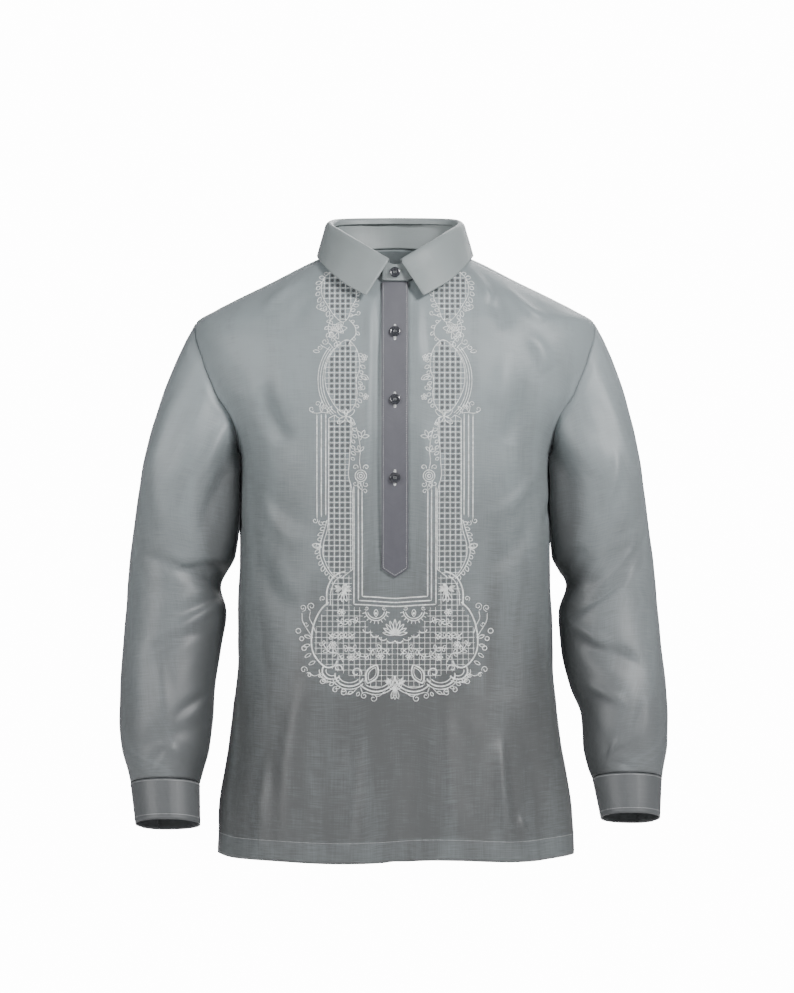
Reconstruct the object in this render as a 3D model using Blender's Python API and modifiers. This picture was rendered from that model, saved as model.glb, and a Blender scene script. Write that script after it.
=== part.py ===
"""Barong tagalog shirt as worn: front, back, sleeves, cuffs, two-part collar, half placket and buttons.

Metres, +Z up, front towards -Y, the wearer's right at -X. The origin is the middle of the wearer's neck.
Each cloth piece is an open surface worked out from named sizes and section tables, then given its wall.
"""
import math

import bmesh
import bpy
import numpy as np
from mathutils import Matrix, Vector

# Walls and gaps
CLOTH = 0.0012          # single cloth, with its seam allowances
DOUBLE = 0.0017         # two layers and interfacing: collar, cuffs, placket
SEAM = 0.0004           # clear gap between sewn pieces
SLEEVE_GAP = 0.0013     # gap at the armhole, where the walls meet at an angle
SHOULDER_GAP = 0.0010   # gap along the shoulder seam, which turns over the shoulder

# Front opening
SLOT_HALF = 0.0135      # half the width of the slot cut in the front
SLOT_FOOT = -0.362      # lower end of the slot
PLACKET_HALF = 0.0155   # half the width of the placket strips
PLACKET_SIDES = -0.3650
PLACKET_POINT = -0.3755
UNDER_FOOT = -0.3685

# Neck ring, in plan
NECK_HALF = 0.076
NECK_FRONT = 0.084
NECK_BACK = 0.063
SHOULDER_BETA = 70.0    # where the shoulder seam meets the neckline, in degrees round from the front

# Lower edge and side vents
HEM = -0.706
UNDERARM = -0.236
VENT_TOP = -0.531
CHEST_ROW = -0.250      # height at the centre of the row that meets the underarm

# Grid counts
ROWS_LOW = 10           # hem to the foot of the slot
ROWS_MID = 4            # foot of the slot to the underarm
ROWS_ARM = 8            # up the front armhole
ROWS_ARM_BACK = 12      # up the back armhole and over the shoulder
NECK_STEP = 0.42        # share of the top edge that is neckline
SHOULDER_STEPS = (0.52, 0.62, 0.72, 0.82, 0.91, 1.0)
FRONT_STEPS = (0.0, 0.016, 0.10, 0.20, 0.31, NECK_STEP) + SHOULDER_STEPS
BACK_STEPS = (0.0, 0.14, 0.28, NECK_STEP) + SHOULDER_STEPS
EVEN_ROUNDS = 150       # rounds of evening out a panel's grid
EVEN_UP = 0.08          # share of each neighbour up and down a column, against those along a row

# Body sections: half width, depth to the front and back, and how square the section is
BODY_NAMES = ("z", "half_width", "front", "back", "roundness")
BODY = (
    (0.0260, 0.0640, 0.0450, 0.0585, 2.00),
    (0.0160, 0.0715, 0.0520, 0.0660, 2.00),
    (0.0080, 0.0820, 0.0585, 0.0720, 2.00),
    (0.0000, 0.1000, 0.0655, 0.0790, 2.00),
    (-0.0100, 0.1200, 0.0725, 0.0860, 2.00),
    (-0.0240, 0.1470, 0.0805, 0.0940, 2.00),
    (-0.0400, 0.1800, 0.0890, 0.1010, 2.05),
    (-0.0580, 0.2150, 0.0965, 0.1080, 2.10),
    (-0.0730, 0.2380, 0.1020, 0.1120, 2.20),
    (-0.0950, 0.2425, 0.1090, 0.1170, 2.30),
    (-0.1180, 0.2415, 0.1145, 0.1210, 2.30),
    (-0.1570, 0.2310, 0.1210, 0.1250, 2.30),
    (-0.1820, 0.2125, 0.1245, 0.1260, 2.30),
    (-0.2100, 0.1945, 0.1270, 0.1255, 2.30),
    (-0.2360, 0.1870, 0.1275, 0.1240, 2.35),
    (-0.3200, 0.1860, 0.1240, 0.1160, 2.40),
    (-0.4000, 0.1865, 0.1205, 0.1100, 2.40),
    (-0.4800, 0.1885, 0.1210, 0.1110, 2.40),
    (-0.5300, 0.1930, 0.1240, 0.1170, 2.40),
    (-0.5900, 0.2010, 0.1300, 0.1250, 2.35),
    (-0.6500, 0.2110, 0.1360, 0.1330, 2.30),
    (-0.7200, 0.2155, 0.1400, 0.1390, 2.30),
)

# Armhole, as height and angle round from the centre front, from the shoulder seam to the underarm
EDGE_NAMES = ("z", "angle")
ARMHOLE_FRONT = (
    (-0.0860, 76.1),
    (-0.1020, 70.8),
    (-0.1180, 66.8),
    (-0.1570, 63.0),
    (-0.1820, 63.7),
    (-0.2120, 71.5),
    (-0.2310, 81.5),
    (-0.2360, 90.0),
)
ARMHOLE_BACK = (
    (-0.0860, 76.1),
    (-0.0735, 90.0),
    (-0.0920, 104.5),
    (-0.1180, 110.5),
    (-0.1500, 114.0),
    (-0.1800, 110.5),
    (-0.2120, 101.5),
    (-0.2310, 95.5),
    (-0.2360, 90.0),
)

# How far the vent edges turn from the side at the hem, in degrees
VENT_NAMES = ("side", "front_turn", "back_turn")
VENTS = (
    (-1, 13.0, 7.0),
    (1, 3.5, 9.0),
)

# Sleeve sections: inner and outer edge across, front and back edge in depth, and forward lean in degrees
SLEEVE_NAMES = ("z", "inner", "outer", "front", "back", "lean")
SLEEVE_RIGHT = (
    (-0.2620, 0.1897, 0.3055, -0.0730, 0.0780, 0.0),
    (-0.3100, 0.1900, 0.3130, -0.0670, 0.0820, 0.0),
    (-0.3520, 0.1925, 0.3180, -0.0610, 0.0820, 2.0),
    (-0.3880, 0.2080, 0.3212, -0.0580, 0.0780, 5.0),
    (-0.4200, 0.2020, 0.3235, -0.0620, 0.0720, 8.0),
    (-0.4620, 0.2085, 0.3260, -0.0700, 0.0580, 11.0),
    (-0.5080, 0.2145, 0.3280, -0.0800, 0.0430, 13.0),
    (-0.5480, 0.2165, 0.3285, -0.0880, 0.0310, 14.0),
    (-0.5820, 0.2210, 0.3240, -0.0920, 0.0180, 15.0),
    (-0.6060, 0.2275, 0.3175, -0.0900, 0.0050, 15.0),
    (-0.6215, 0.2315, 0.3135, -0.0865, -0.0055, 15.0),
)
SLEEVE_LEFT = (
    (-0.2620, 0.1893, 0.2975, -0.0730, 0.0780, 0.0),
    (-0.3100, 0.1893, 0.3042, -0.0670, 0.0820, 0.0),
    (-0.3520, 0.1890, 0.3096, -0.0610, 0.0820, 2.0),
    (-0.3880, 0.2055, 0.3132, -0.0580, 0.0780, 5.0),
    (-0.4200, 0.1960, 0.3162, -0.0620, 0.0720, 8.0),
    (-0.4620, 0.1990, 0.3192, -0.0700, 0.0580, 11.0),
    (-0.5080, 0.2090, 0.3236, -0.0800, 0.0430, 13.0),
    (-0.5400, 0.2215, 0.3252, -0.0860, 0.0330, 14.0),
    (-0.5750, 0.2235, 0.3235, -0.0910, 0.0200, 15.0),
    (-0.6000, 0.2285, 0.3195, -0.0890, 0.0065, 15.0),
    (-0.6150, 0.2340, 0.3170, -0.0850, -0.0040, 15.0),
)
SLEEVE_ROUNDNESS = 2.1
SEAM_ALPHA = 15.0       # where the shoulder seam meets the sleeve, in degrees from its outer edge
CAP_RINGS = 6
ARM_RINGS = 15

# Cuffs: half sizes at top and bottom, height along the arm, shift across at the bottom
CUFF_NAMES = ("side", "half_wide_top", "half_deep_top", "half_wide_low", "half_deep_low", "height", "shift")
CUFFS = (
    (-1, 0.0412, 0.0405, 0.0385, 0.0388, 0.0480, -0.0040),
    (1, 0.0412, 0.0405, 0.0352, 0.0378, 0.0470, 0.0030),
)
CUFF_LAP = 30.0         # degrees of lap
CUFF_LAP_AT = 305.0     # middle of the lap, round from the outer edge by the front
CUFF_STEP = 0.0024      # how far the top layer of a lap stands off the lower one

# Collar: fold line and lower edge of the fall, by plan angle from the front
COLLAR_NAMES = ("beta", "fold_x", "fold_y", "fold_z", "edge_x", "edge_y", "edge_z")
COLLAR = (
    (6.0, 0.0075, -0.0835, -0.0035, 0.0335, -0.1005, -0.0462),
    (20.0, 0.0230, -0.0790, 0.0060, 0.0470, -0.0955, -0.0385),
    (40.0, 0.0440, -0.0640, 0.0195, 0.0640, -0.0850, -0.0275),
    (62.0, 0.0640, -0.0360, 0.0335, 0.0815, -0.0600, -0.0105),
    (90.0, 0.0785, 0.0000, 0.0460, 0.0930, -0.0050, 0.0070),
    (120.0, 0.0725, 0.0330, 0.0525, 0.0850, 0.0440, 0.0105),
    (150.0, 0.0420, 0.0575, 0.0560, 0.0500, 0.0715, 0.0125),
    (180.0, 0.0000, 0.0655, 0.0570, 0.0000, 0.0800, 0.0135),
)
FALL_ROLL = 0.0022      # rise and turn of the roll over the stand
FALL_BULGE = 0.0030     # swell of the fall between fold and edge
STAND_TOP_GAP = 0.0030  # stand's upper edge below the fold line
STAND_INSET = 0.0032    # stand's upper edge inside the fold line at the front
STAND_LAP = 0.0024      # over end of the stand stands off the under end

# Buttons
BUTTON_RADIUS = 0.0063
BUTTON_THICK = 0.0026
BUTTON_HOLE = 0.0008
BUTTON_HOLE_OUT = 0.0016
BUTTON_LIFT = 0.0007
BUTTON_HEIGHTS = (-0.0890, -0.1685, -0.2590)
STAND_BUTTON_Z = -0.0180
CUFF_BUTTON_RADIUS = 0.0055

# Largest folds: a straight run on the cloth, how wide it is and how far it stands out (minus is a trough)
FOLD_NAMES = ("angle_1", "z_1", "angle_2", "z_2", "width", "height")
BODY_REACH = 0.00270    # metres of cloth per degree round the body
BODY_FOLDS = (
    (-30.0, -0.400, -36.0, -0.700, 0.034, 0.0045),
    (-62.0, -0.480, -68.0, -0.710, 0.022, -0.0040),
    (24.0, -0.420, 33.0, -0.710, 0.030, 0.0040),
    (48.0, -0.560, 54.0, -0.715, 0.018, -0.0045),
    (70.0, -0.500, 73.0, -0.700, 0.020, 0.0035),
    (-70.0, -0.250, -30.0, -0.330, 0.018, -0.0025),
    (72.0, -0.250, 34.0, -0.335, 0.018, -0.0025),
    (150.0, -0.330, 158.0, -0.700, 0.032, 0.0050),
    (-148.0, -0.350, -160.0, -0.700, 0.034, 0.0050),
    (118.0, -0.430, 112.0, -0.705, 0.024, -0.0040),
    (-120.0, -0.440, -113.0, -0.705, 0.026, -0.0040),
)
SLEEVE_REACH = 0.00108  # metres of cloth per degree round the sleeve
RIGHT_FOLDS = (
    (172.0, -0.394, 60.0, -0.356, 0.011, -0.0060),
    (160.0, -0.402, 85.0, -0.436, 0.012, -0.0045),
    (20.0, -0.200, 62.0, -0.300, 0.015, 0.0040),
    (195.0, -0.394, 285.0, -0.350, 0.013, -0.0055),
    (205.0, -0.405, 270.0, -0.455, 0.013, -0.0045),
    (140.0, -0.560, 50.0, -0.590, 0.012, -0.0040),
    (320.0, -0.560, 240.0, -0.585, 0.012, -0.0040),
)
LEFT_FOLDS = (
    (50.0, -0.338, 140.0, -0.418, 0.011, -0.0065),
    (150.0, -0.380, 80.0, -0.352, 0.011, -0.0045),
    (35.0, -0.215, 70.0, -0.320, 0.016, 0.0040),
    (200.0, -0.394, 290.0, -0.352, 0.013, -0.0055),
    (200.0, -0.410, 275.0, -0.460, 0.013, -0.0045),
    (130.0, -0.465, 70.0, -0.500, 0.012, -0.0040),
    (115.0, -0.590, 60.0, -0.600, 0.011, -0.0045),
    (320.0, -0.560, 240.0, -0.585, 0.012, -0.0040),
)


def through(xs, ys, at):
    """A smooth curve through (xs, ys) that never passes its rows, read at `at`."""
    xs = np.asarray(xs, float)
    ys = np.asarray(ys, float)
    at = np.clip(np.asarray(at, float), xs[0], xs[-1])
    step = np.diff(xs)
    slope = np.diff(ys) / step
    tangent = np.zeros(len(xs))
    same = slope[:-1] * slope[1:] > 0
    total = np.where(same, slope[:-1] + slope[1:], 1.0)
    tangent[1:-1] = np.where(same, 2 * slope[:-1] * slope[1:] / total, 0.0)
    tangent[0] = slope[0]
    tangent[-1] = slope[-1]
    k = np.clip(np.searchsorted(xs, at) - 1, 0, len(step) - 1)
    t = (at - xs[k]) / step[k]
    lower = ys[k] * (1 + 2 * t) * (1 - t) ** 2 + step[k] * tangent[k] * t * (1 - t) ** 2
    upper = ys[k + 1] * t * t * (3 - 2 * t) + step[k] * tangent[k + 1] * t * t * (t - 1)
    return lower + upper


def read(rows, names, name, at):
    """One named column of a table, smoothly, at a value of its first column."""
    data = np.array(rows, float)
    order = np.argsort(data[:, 0])
    return through(data[order, 0], data[order, names.index(name)], at)


def along(rows, share):
    """A point at each share of the way along the line through a table of (z, angle) rows."""
    data = np.array(rows, float)
    reach = data * np.array([1.0, BODY_REACH])
    run = np.concatenate([[0.0], np.cumsum(np.hypot(*np.diff(reach, axis=0).T))])
    at = np.asarray(share, float) * run[-1]
    return through(run, data[:, 1], at), through(run, data[:, 0], at)


def fold_height(rows, reach, angle, z):
    """How far the cloth stands out from its plain form."""
    total = np.zeros(np.broadcast(angle, z).shape)
    for a1, z1, a2, z2, width, height in rows:
        run = np.array([(a2 - a1) * reach, z2 - z1])
        u = ((angle - a1 + 180.0) % 360.0 - 180.0) * reach
        v = z - z1
        t = np.clip((u * run[0] + v * run[1]) / (run @ run), 0.0, 1.0)
        away = np.hypot(u - t * run[0], v - t * run[1])
        total = total + height * np.exp(-(away / width) ** 2) * (0.4 + 0.6 * np.sin(math.pi * t))
    return total


def body_size(name, z):
    return read(BODY, BODY_NAMES, name, z)


def body(angle, z, lift=0.0, folded=True):
    """A point of the body cloth at an angle round from the centre front, + towards +X, and a height."""
    angle, z = np.broadcast_arrays(np.asarray(angle, float), np.asarray(z, float))
    turn = np.radians(np.abs(angle))
    s = np.sin(turn)
    c = np.cos(turn)
    n = body_size("roundness", z)
    rho = (np.abs(s) ** n + np.abs(c) ** n) ** (-1.0 / n)
    wide = body_size("half_width", z)
    deep = np.where(c > 0, body_size("front", z), body_size("back", z))
    x = wide * rho * s
    y = -deep * rho * c
    out_x = (np.abs(x) / wide) ** (n - 1) / wide
    out_y = np.sign(y) * (np.abs(y) / deep) ** (n - 1) / deep
    size = np.hypot(out_x, out_y)
    out = lift
    if folded:
        out = out + fold_height(BODY_FOLDS, BODY_REACH, angle, z)
    side = np.where(angle < 0, -1.0, 1.0)
    return np.stack([side * (x + out * out_x / size), y + out * out_y / size, z], axis=-1)


def angle_across(x, z):
    """The angle of the front cloth that lies at `x` across, at a height."""
    n = body_size("roundness", z)
    share = (abs(x) / body_size("half_width", z)) ** n
    return np.degrees(np.arctan((share / (1.0 - share)) ** (1.0 / n)))


def body_from_plan(x, y):
    """The angle and height of the shoulder cloth above a point in plan."""
    x, y = np.broadcast_arrays(np.abs(np.asarray(x, float)), np.asarray(y, float))
    low = np.full(x.shape, -0.0950)
    high = np.full(x.shape, 0.0260)
    for _ in range(44):
        mid = (low + high) / 2
        n = body_size("roundness", mid)
        deep = np.where(y < 0, body_size("front", mid), body_size("back", mid))
        beyond = (x / body_size("half_width", mid)) ** n + (np.abs(y) / deep) ** n > 1.0
        high = np.where(beyond, mid, high)
        low = np.where(beyond, low, mid)
    z = (low + high) / 2
    return angle_of(x, y, z), z


def neck_plan(beta):
    """Plan of the neckline at an angle round from the front."""
    turn = np.radians(beta)
    c = np.cos(turn)
    return NECK_HALF * np.sin(turn), -np.where(c > 0, NECK_FRONT, NECK_BACK) * c


def shoulder_line(share, shift):
    """Shoulder seam from neckline to armhole: plan points, moved `shift` in depth."""
    x1, y1 = neck_plan(SHOULDER_BETA)
    end = body(ARMHOLE_FRONT[0][1], ARMHOLE_FRONT[0][0])
    x = x1 + (end[0] - x1) * share
    y = y1 + (end[1] - y1) * share + shift
    return body_from_plan(x, y)


def patch(inner, outer, bottom, top, steps):
    """Coons patch over (angle, z) edges: inner and outer run up, bottom and top run outwards."""
    r = np.linspace(0, 1, inner.shape[0])[:, None, None]
    c = np.asarray(steps)[None, :, None]
    sides = (1 - c) * inner[:, None] + c * outer[:, None]
    ends = (1 - r) * bottom[None] + r * top[None]
    corners = (1 - c) * ((1 - r) * bottom[0] + r * top[0]) + c * ((1 - r) * bottom[-1] + r * top[-1])
    return sides + ends - corners


def angle_of(x, y, z):
    """The angle round the body of a point near its cloth."""
    deep = np.where(y < 0, body_size("front", z), body_size("back", z))
    return np.degrees(np.arctan2(np.abs(x) / body_size("half_width", z), -y / deep))


def evened(domain):
    """The same grid with its inner points moved over the cloth until they are evenly spread."""
    for _ in range(EVEN_ROUNDS):
        p = body(domain[..., 0], domain[..., 1], folded=False)
        mid = (p[:-2, 1:-1] + p[2:, 1:-1]) * EVEN_UP + (p[1:-1, :-2] + p[1:-1, 2:]) * (0.5 - EVEN_UP)
        domain[1:-1, 1:-1] = pair(angle_of(mid[..., 0], mid[..., 1], mid[..., 2]), mid[..., 2])
    return domain


def pair(angle, z):
    angle, z = np.broadcast_arrays(angle, z)
    return np.stack([angle, z], axis=-1)


def hem_z(angle, side):
    """Height of the lower edge: level, with a slow wave."""
    signed = np.asarray(angle) * side
    return HEM + 0.0016 * np.sin(np.radians(signed * 4 + 40)) + 0.0012 * np.sin(np.radians(signed * 7))


def side_edge(z, side, front):
    """Angle of the side seam and, below it, of the vent edge."""
    vent = [row for row in VENTS if row[0] == side][0]
    open_share = np.clip((VENT_TOP - z) / (VENT_TOP - HEM), 0, 1)
    ease = open_share ** 1.3
    gap = 0.09
    if front:
        return 90.0 - gap - vent[1] * ease
    return 90.0 + gap + vent[2] * ease


def low_rows(foot):
    """Heights up the lower rows, from the hem to the row that meets the underarm."""
    first = np.linspace(foot, SLOT_FOOT, ROWS_LOW + 1)
    second = np.linspace(SLOT_FOOT, CHEST_ROW, ROWS_MID + 1)[1:]
    return np.concatenate([first, second])


def half_panel(side, front):
    """(angle, z) grid of half a panel, from its centre outwards and its hem upwards."""
    steps = np.array(FRONT_STEPS if front else BACK_STEPS)
    on_neck = steps <= NECK_STEP + 1e-9
    armhole = ARMHOLE_FRONT if front else ARMHOLE_BACK
    arm_rows = ROWS_ARM if front else ROWS_ARM_BACK
    if front:
        first_beta = math.degrees(math.asin(SLOT_HALF / NECK_HALF))
    else:
        first_beta = 180.0
    beta = first_beta + (SHOULDER_BETA - first_beta) * steps[on_neck] / NECK_STEP
    shift = -SHOULDER_GAP / 2 if front else SHOULDER_GAP / 2
    beta[-1] = beta[-1] + math.degrees(shift / NECK_HALF)
    neck = pair(*body_from_plan(*neck_plan(beta)))
    share = (steps[~on_neck] - NECK_STEP) / (1 - NECK_STEP)
    seam = pair(*shoulder_line(share, shift))
    top = np.concatenate([neck, seam])
    foot = hem_z(0.0 if front else 180.0, side)
    low = low_rows(foot)
    high = CHEST_ROW + (top[0, 1] - CHEST_ROW) * np.arange(1, arm_rows + 1) / arm_rows
    centre_z = np.concatenate([low, high])
    centre_angle = angle_across(SLOT_HALF, centre_z) if front else np.full(centre_z.shape, 180.0)
    inner = pair(centre_angle, centre_z)
    inner[-1] = top[0]
    foot_edge = hem_z(90.0, side)
    edge_low = foot_edge + (low - low[0]) / (low[-1] - low[0]) * (UNDERARM - foot_edge)
    seam_low = pair(side_edge(edge_low, side, front), edge_low)
    arm = pair(*along(armhole, 1.0 - np.arange(0, arm_rows + 1) / arm_rows))
    outer = np.concatenate([seam_low[:-1], arm])
    outer[len(low) - 1] = seam_low[-1]
    outer[-1] = top[-1]
    bottom_angle = inner[0, 0] + (outer[0, 0] - inner[0, 0]) * steps
    bottom = pair(bottom_angle, hem_z(bottom_angle, side))
    inner[0] = bottom[0]
    outer[0] = bottom[-1]
    return evened(patch(inner, outer, bottom, top, steps))


def panel_grid(front):
    """Whole panel: points by row (hem upwards) and column (from -X to +X)."""
    right = half_panel(-1, front)
    left = half_panel(1, front)
    right = right * np.array([-1.0, 1.0])
    if front:
        middle = pair(np.zeros(left.shape[0]), left[:, 0, 1])[:, None]
        domain = np.concatenate([right[:, ::-1], middle, left], axis=1)
    else:
        domain = np.concatenate([left[:, ::-1], right[:, 1:]], axis=1)
    return body(domain[..., 0], domain[..., 1])


def sleeve_size(rows, name, z):
    return read(rows, SLEEVE_NAMES, name, z)


def sleeve_ring(rows, folds, alpha, z):
    """Ring of a sleeve (for +X) at angles from the outer edge by the front, at a centre height."""
    turn = np.radians(alpha)
    inner = sleeve_size(rows, "inner", z)
    outer = sleeve_size(rows, "outer", z)
    front = sleeve_size(rows, "front", z)
    back = sleeve_size(rows, "back", z)
    lean = np.radians(sleeve_size(rows, "lean", z))
    n = SLEEVE_ROUNDNESS
    rho = (np.abs(np.cos(turn)) ** n + np.abs(np.sin(turn)) ** n) ** (-1.0 / n)
    out = fold_height(folds, SLEEVE_REACH, alpha, z)
    wide = (outer - inner) / 2 * rho + out
    deep = (back - front) / 2 * rho + out
    x = (outer + inner) / 2 + wide * np.cos(turn)
    y = (front + back) / 2 - deep * np.sin(turn) * np.cos(lean)
    return np.stack([x, y, z + deep * np.sin(turn) * np.sin(lean)], axis=-1)


def armhole_ring(front_count, back_count):
    """Points and sleeve angles of the +X armhole, from the shoulder seam by the front and underarm."""
    front_share = np.arange(front_count + 1) / front_count
    back_share = np.arange(1, back_count) / back_count
    front = body(*along(ARMHOLE_FRONT, front_share))
    back = body(*along(ARMHOLE_BACK, 1.0 - back_share))
    alpha_front = SEAM_ALPHA + (180.0 - SEAM_ALPHA) * front_share
    alpha_back = 180.0 + (180.0 + SEAM_ALPHA) * back_share
    return np.concatenate([front, back]), np.concatenate([alpha_front, alpha_back])


def sleeve_grid(rows, folds, cap_rings, arm_rings, front_count, back_count):
    """Sleeve for +X: rings from the armhole down to the cuff."""
    hole, alpha = armhole_ring(front_count, back_count)
    hole = hole + np.array([SLEEVE_GAP, 0.0, 0.0])
    top_z = rows[0][0]
    low_z = rows[-1][0]
    first = sleeve_ring(rows, folds, alpha, top_z)
    second = sleeve_ring(rows, folds, alpha, top_z - 0.02)
    reach = np.linalg.norm(first - hole, axis=1)[:, None]
    turn = np.radians(alpha)
    outward = 0.05 + 0.45 * (1 + np.cos(turn)) / 2
    sideways = -0.30 * np.sin(turn)
    down = -np.sqrt(1.0 - outward ** 2 - sideways ** 2)
    leave = np.stack([outward, sideways, down], axis=-1) * reach
    arrive = second - first
    arrive = arrive / np.linalg.norm(arrive, axis=1)[:, None] * reach
    rings = []
    for k in range(cap_rings):
        t = k / cap_rings
        ring = hole * (1 + 2 * t) * (1 - t) ** 2 + leave * t * (1 - t) ** 2
        ring = ring + first * t * t * (3 - 2 * t) + arrive * t * t * (t - 1)
        rings.append(ring)
    for k in range(arm_rings + 1):
        z = top_z + (low_z - top_z) * k / arm_rings
        rings.append(sleeve_ring(rows, folds, alpha, z))
    return np.array(rings), alpha


def cuff_point(rows, cuff, alpha, share, lift):
    """A point of a cuff (for +X): `share` down it, `lift` out from its plain form."""
    turn = np.radians(alpha)
    z = rows[-1][0]
    lean = math.radians(rows[-1][5])
    wide = cuff[1] + (cuff[3] - cuff[1]) * share + lift
    deep = cuff[2] + (cuff[4] - cuff[2]) * share + lift
    n = SLEEVE_ROUNDNESS
    rho = (np.abs(np.cos(turn)) ** n + np.abs(np.sin(turn)) ** n) ** (-1.0 / n)
    drop = SEAM + 0.0004 + cuff[5] * share
    centre_x = (rows[-1][1] + rows[-1][2]) / 2 + cuff[6] * share * (1 if cuff[0] > 0 else -1) * cuff[0]
    centre_y = (rows[-1][3] + rows[-1][4]) / 2 - drop * math.sin(lean)
    centre_z = z - drop * math.cos(lean)
    x = centre_x + wide * rho * np.cos(turn)
    y = centre_y - deep * rho * np.sin(turn) * math.cos(lean)
    return np.stack([x, y, centre_z + deep * rho * np.sin(turn) * math.sin(lean)], axis=-1)


def cuff_grid(rows, cuff):
    """Cuff for +X as a strip with a lap at the back."""
    start = CUFF_LAP_AT - 360.0 - CUFF_LAP / 2
    count = 26
    alpha = start + (360.0 + CUFF_LAP) * np.arange(count + 1) / count
    rise = np.clip((alpha - (CUFF_LAP_AT - CUFF_LAP / 2 - 26.0)) / 26.0, 0, 1)
    lift = CUFF_STEP * rise * rise * (3 - 2 * rise)
    return np.array([cuff_point(rows, cuff, alpha, share, lift) for share in (0.0, 0.34, 0.67, 1.0)])


def collar_size(name, beta):
    return read(COLLAR, COLLAR_NAMES, name, beta)


def collar_line(part, beta):
    """Fold line or lower edge of the collar at signed plan angles."""
    size = np.abs(beta)
    side = np.where(beta < 0, -1.0, 1.0)
    return np.stack([side * collar_size(part + "_x", size), collar_size(part + "_y", size),
                     collar_size(part + "_z", size)], axis=-1)


def outward(points):
    """Level direction out from the neck."""
    flat = points * np.array([1.0, 1.0, 0.0]) + np.array([0.0, 0.010, 0.0])
    return flat / np.linalg.norm(flat, axis=-1, keepdims=True)


def fall_grid():
    """Collar fall from inside the fold, over it and down to its edge; columns run round the back."""
    half = 12
    beta = 6.0 + 174.0 * np.linspace(0, 1, half + 1)
    beta = np.concatenate([-beta, beta[:-1][::-1]])
    fold = collar_line("fold", beta)
    edge = collar_line("edge", beta)
    out = outward(fold)
    up = np.array([0.0, 0.0, 1.0])
    roll = FALL_ROLL
    rows = [fold - up * roll * 0.9, fold + out * roll * 0.4 + up * roll * 0.1]
    turned = fold + out * roll * 1.7 - up * roll * 0.9
    rows.append(turned)
    for share in (0.25, 0.5, 0.75, 1.0):
        swell = FALL_BULGE * math.sin(math.pi * share ** 0.8)
        rows.append(turned + (edge - turned) * share + out * swell)
    return np.array(rows)


def stand_columns():
    """Plan angles of the stand: the neckline's own points, and the two lapped ends."""
    steps = np.array(FRONT_STEPS)
    steps = steps[steps <= NECK_STEP + 1e-9] / NECK_STEP
    first = math.degrees(math.asin(SLOT_HALF / NECK_HALF))
    front = first + (SHOULDER_BETA - first) * steps
    steps = np.array(BACK_STEPS)
    steps = steps[steps <= NECK_STEP + 1e-9] / NECK_STEP
    back = 180.0 + (SHOULDER_BETA - 180.0) * steps
    side = np.concatenate([front, back[:-1][::-1]])
    return side, -side[:-1][::-1]


def stand_grid():
    """Collar stand from its over end (at -X of centre), by +X, round the back to its under end."""
    right, left = stand_columns()
    lap = math.degrees(math.asin(PLACKET_HALF / NECK_HALF))
    start = np.array([-lap, 0.0])
    end = np.array([0.0, lap])
    turn = np.concatenate([start, right, 360.0 + left, 360.0 + end])
    beta = np.where(turn > 180.0, turn - 360.0, turn)
    plan_x, plan_y = neck_plan(np.abs(beta))
    side = np.where(beta < 0, -1.0, 1.0)
    first = math.degrees(math.asin(SLOT_HALF / NECK_HALF))
    low_z = body_from_plan(*neck_plan(np.maximum(np.abs(beta), first)))[1]
    low = np.stack([side * plan_x, plan_y, low_z + SEAM + 0.0006], axis=-1)
    fold = collar_line("fold", np.where(np.abs(beta) < 6.0, 6.0 * side, beta))
    centre = np.abs(beta) < 6.0
    fold[centre, 0] = 0.0
    inset = STAND_INSET * np.clip((75.0 - np.abs(beta)) / 45.0, 0, 1)
    high = fold - np.array([0.0, 0.0, STAND_TOP_GAP]) - outward(fold) * inset[:, None]
    rise = np.clip((34.0 - turn) / 26.0, 0, 1)
    lift = STAND_LAP * rise * rise * (3 - 2 * rise)
    rows = []
    for share in (0.0, 0.35, 0.7, 1.0):
        line = low + (high - low) * share
        rows.append(line + outward(line) * (lift[:, None] + 0.0012 * math.sin(math.pi * share)))
    return np.array(rows)


# --- Making the objects ---

for item in list(bpy.data.objects):
    bpy.data.objects.remove(item, do_unlink=True)
for group in list(bpy.data.collections):
    bpy.data.collections.remove(group)

shirt = bpy.data.collections.new("barong_tagalog")
bpy.context.scene.collection.children.link(shirt)
tools = bpy.data.collections.new("cutters")
bpy.context.scene.collection.children.link(tools)


def material(name, colour, rough, metallic=0.0):
    made = bpy.data.materials.new(name)
    made.use_nodes = True
    shader = made.node_tree.nodes["Principled BSDF"]
    shader.inputs["Base Color"].default_value = (*colour, 1.0)
    shader.inputs["Roughness"].default_value = rough
    shader.inputs["Metallic"].default_value = metallic
    made.diffuse_color = (*colour, 1.0)
    return made


ORGANZA = material("organza", (0.245, 0.270, 0.280), 0.45)
BAND = material("organza_double", (0.225, 0.235, 0.255), 0.45)
RESIN = material("button_resin", (0.035, 0.037, 0.042), 0.20)


def add(name, mesh, look, collection=None):
    mesh.materials.append(look)
    made = bpy.data.objects.new(name, mesh)
    (collection or shirt).objects.link(made)
    return made


def cloth(name, points, quads, wall, look):
    """Cloth from points and faces, with its wall put on by Solidify on the inner side."""
    bm = bmesh.new()
    flat = points.reshape(-1, 3)
    used = sorted({k for quad in quads for k in quad})
    verts = {k: bm.verts.new(flat[k]) for k in used}
    for quad in quads:
        bm.faces.new([verts[k] for k in quad])
    mesh = bpy.data.meshes.new(name)
    bm.to_mesh(mesh)
    bm.free()
    made = add(name, mesh, look)
    solid = made.modifiers.new("wall", "SOLIDIFY")
    solid.thickness = wall
    solid.offset = -1.0
    solid.use_even_offset = True
    solid.use_rim = True
    return made


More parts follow.
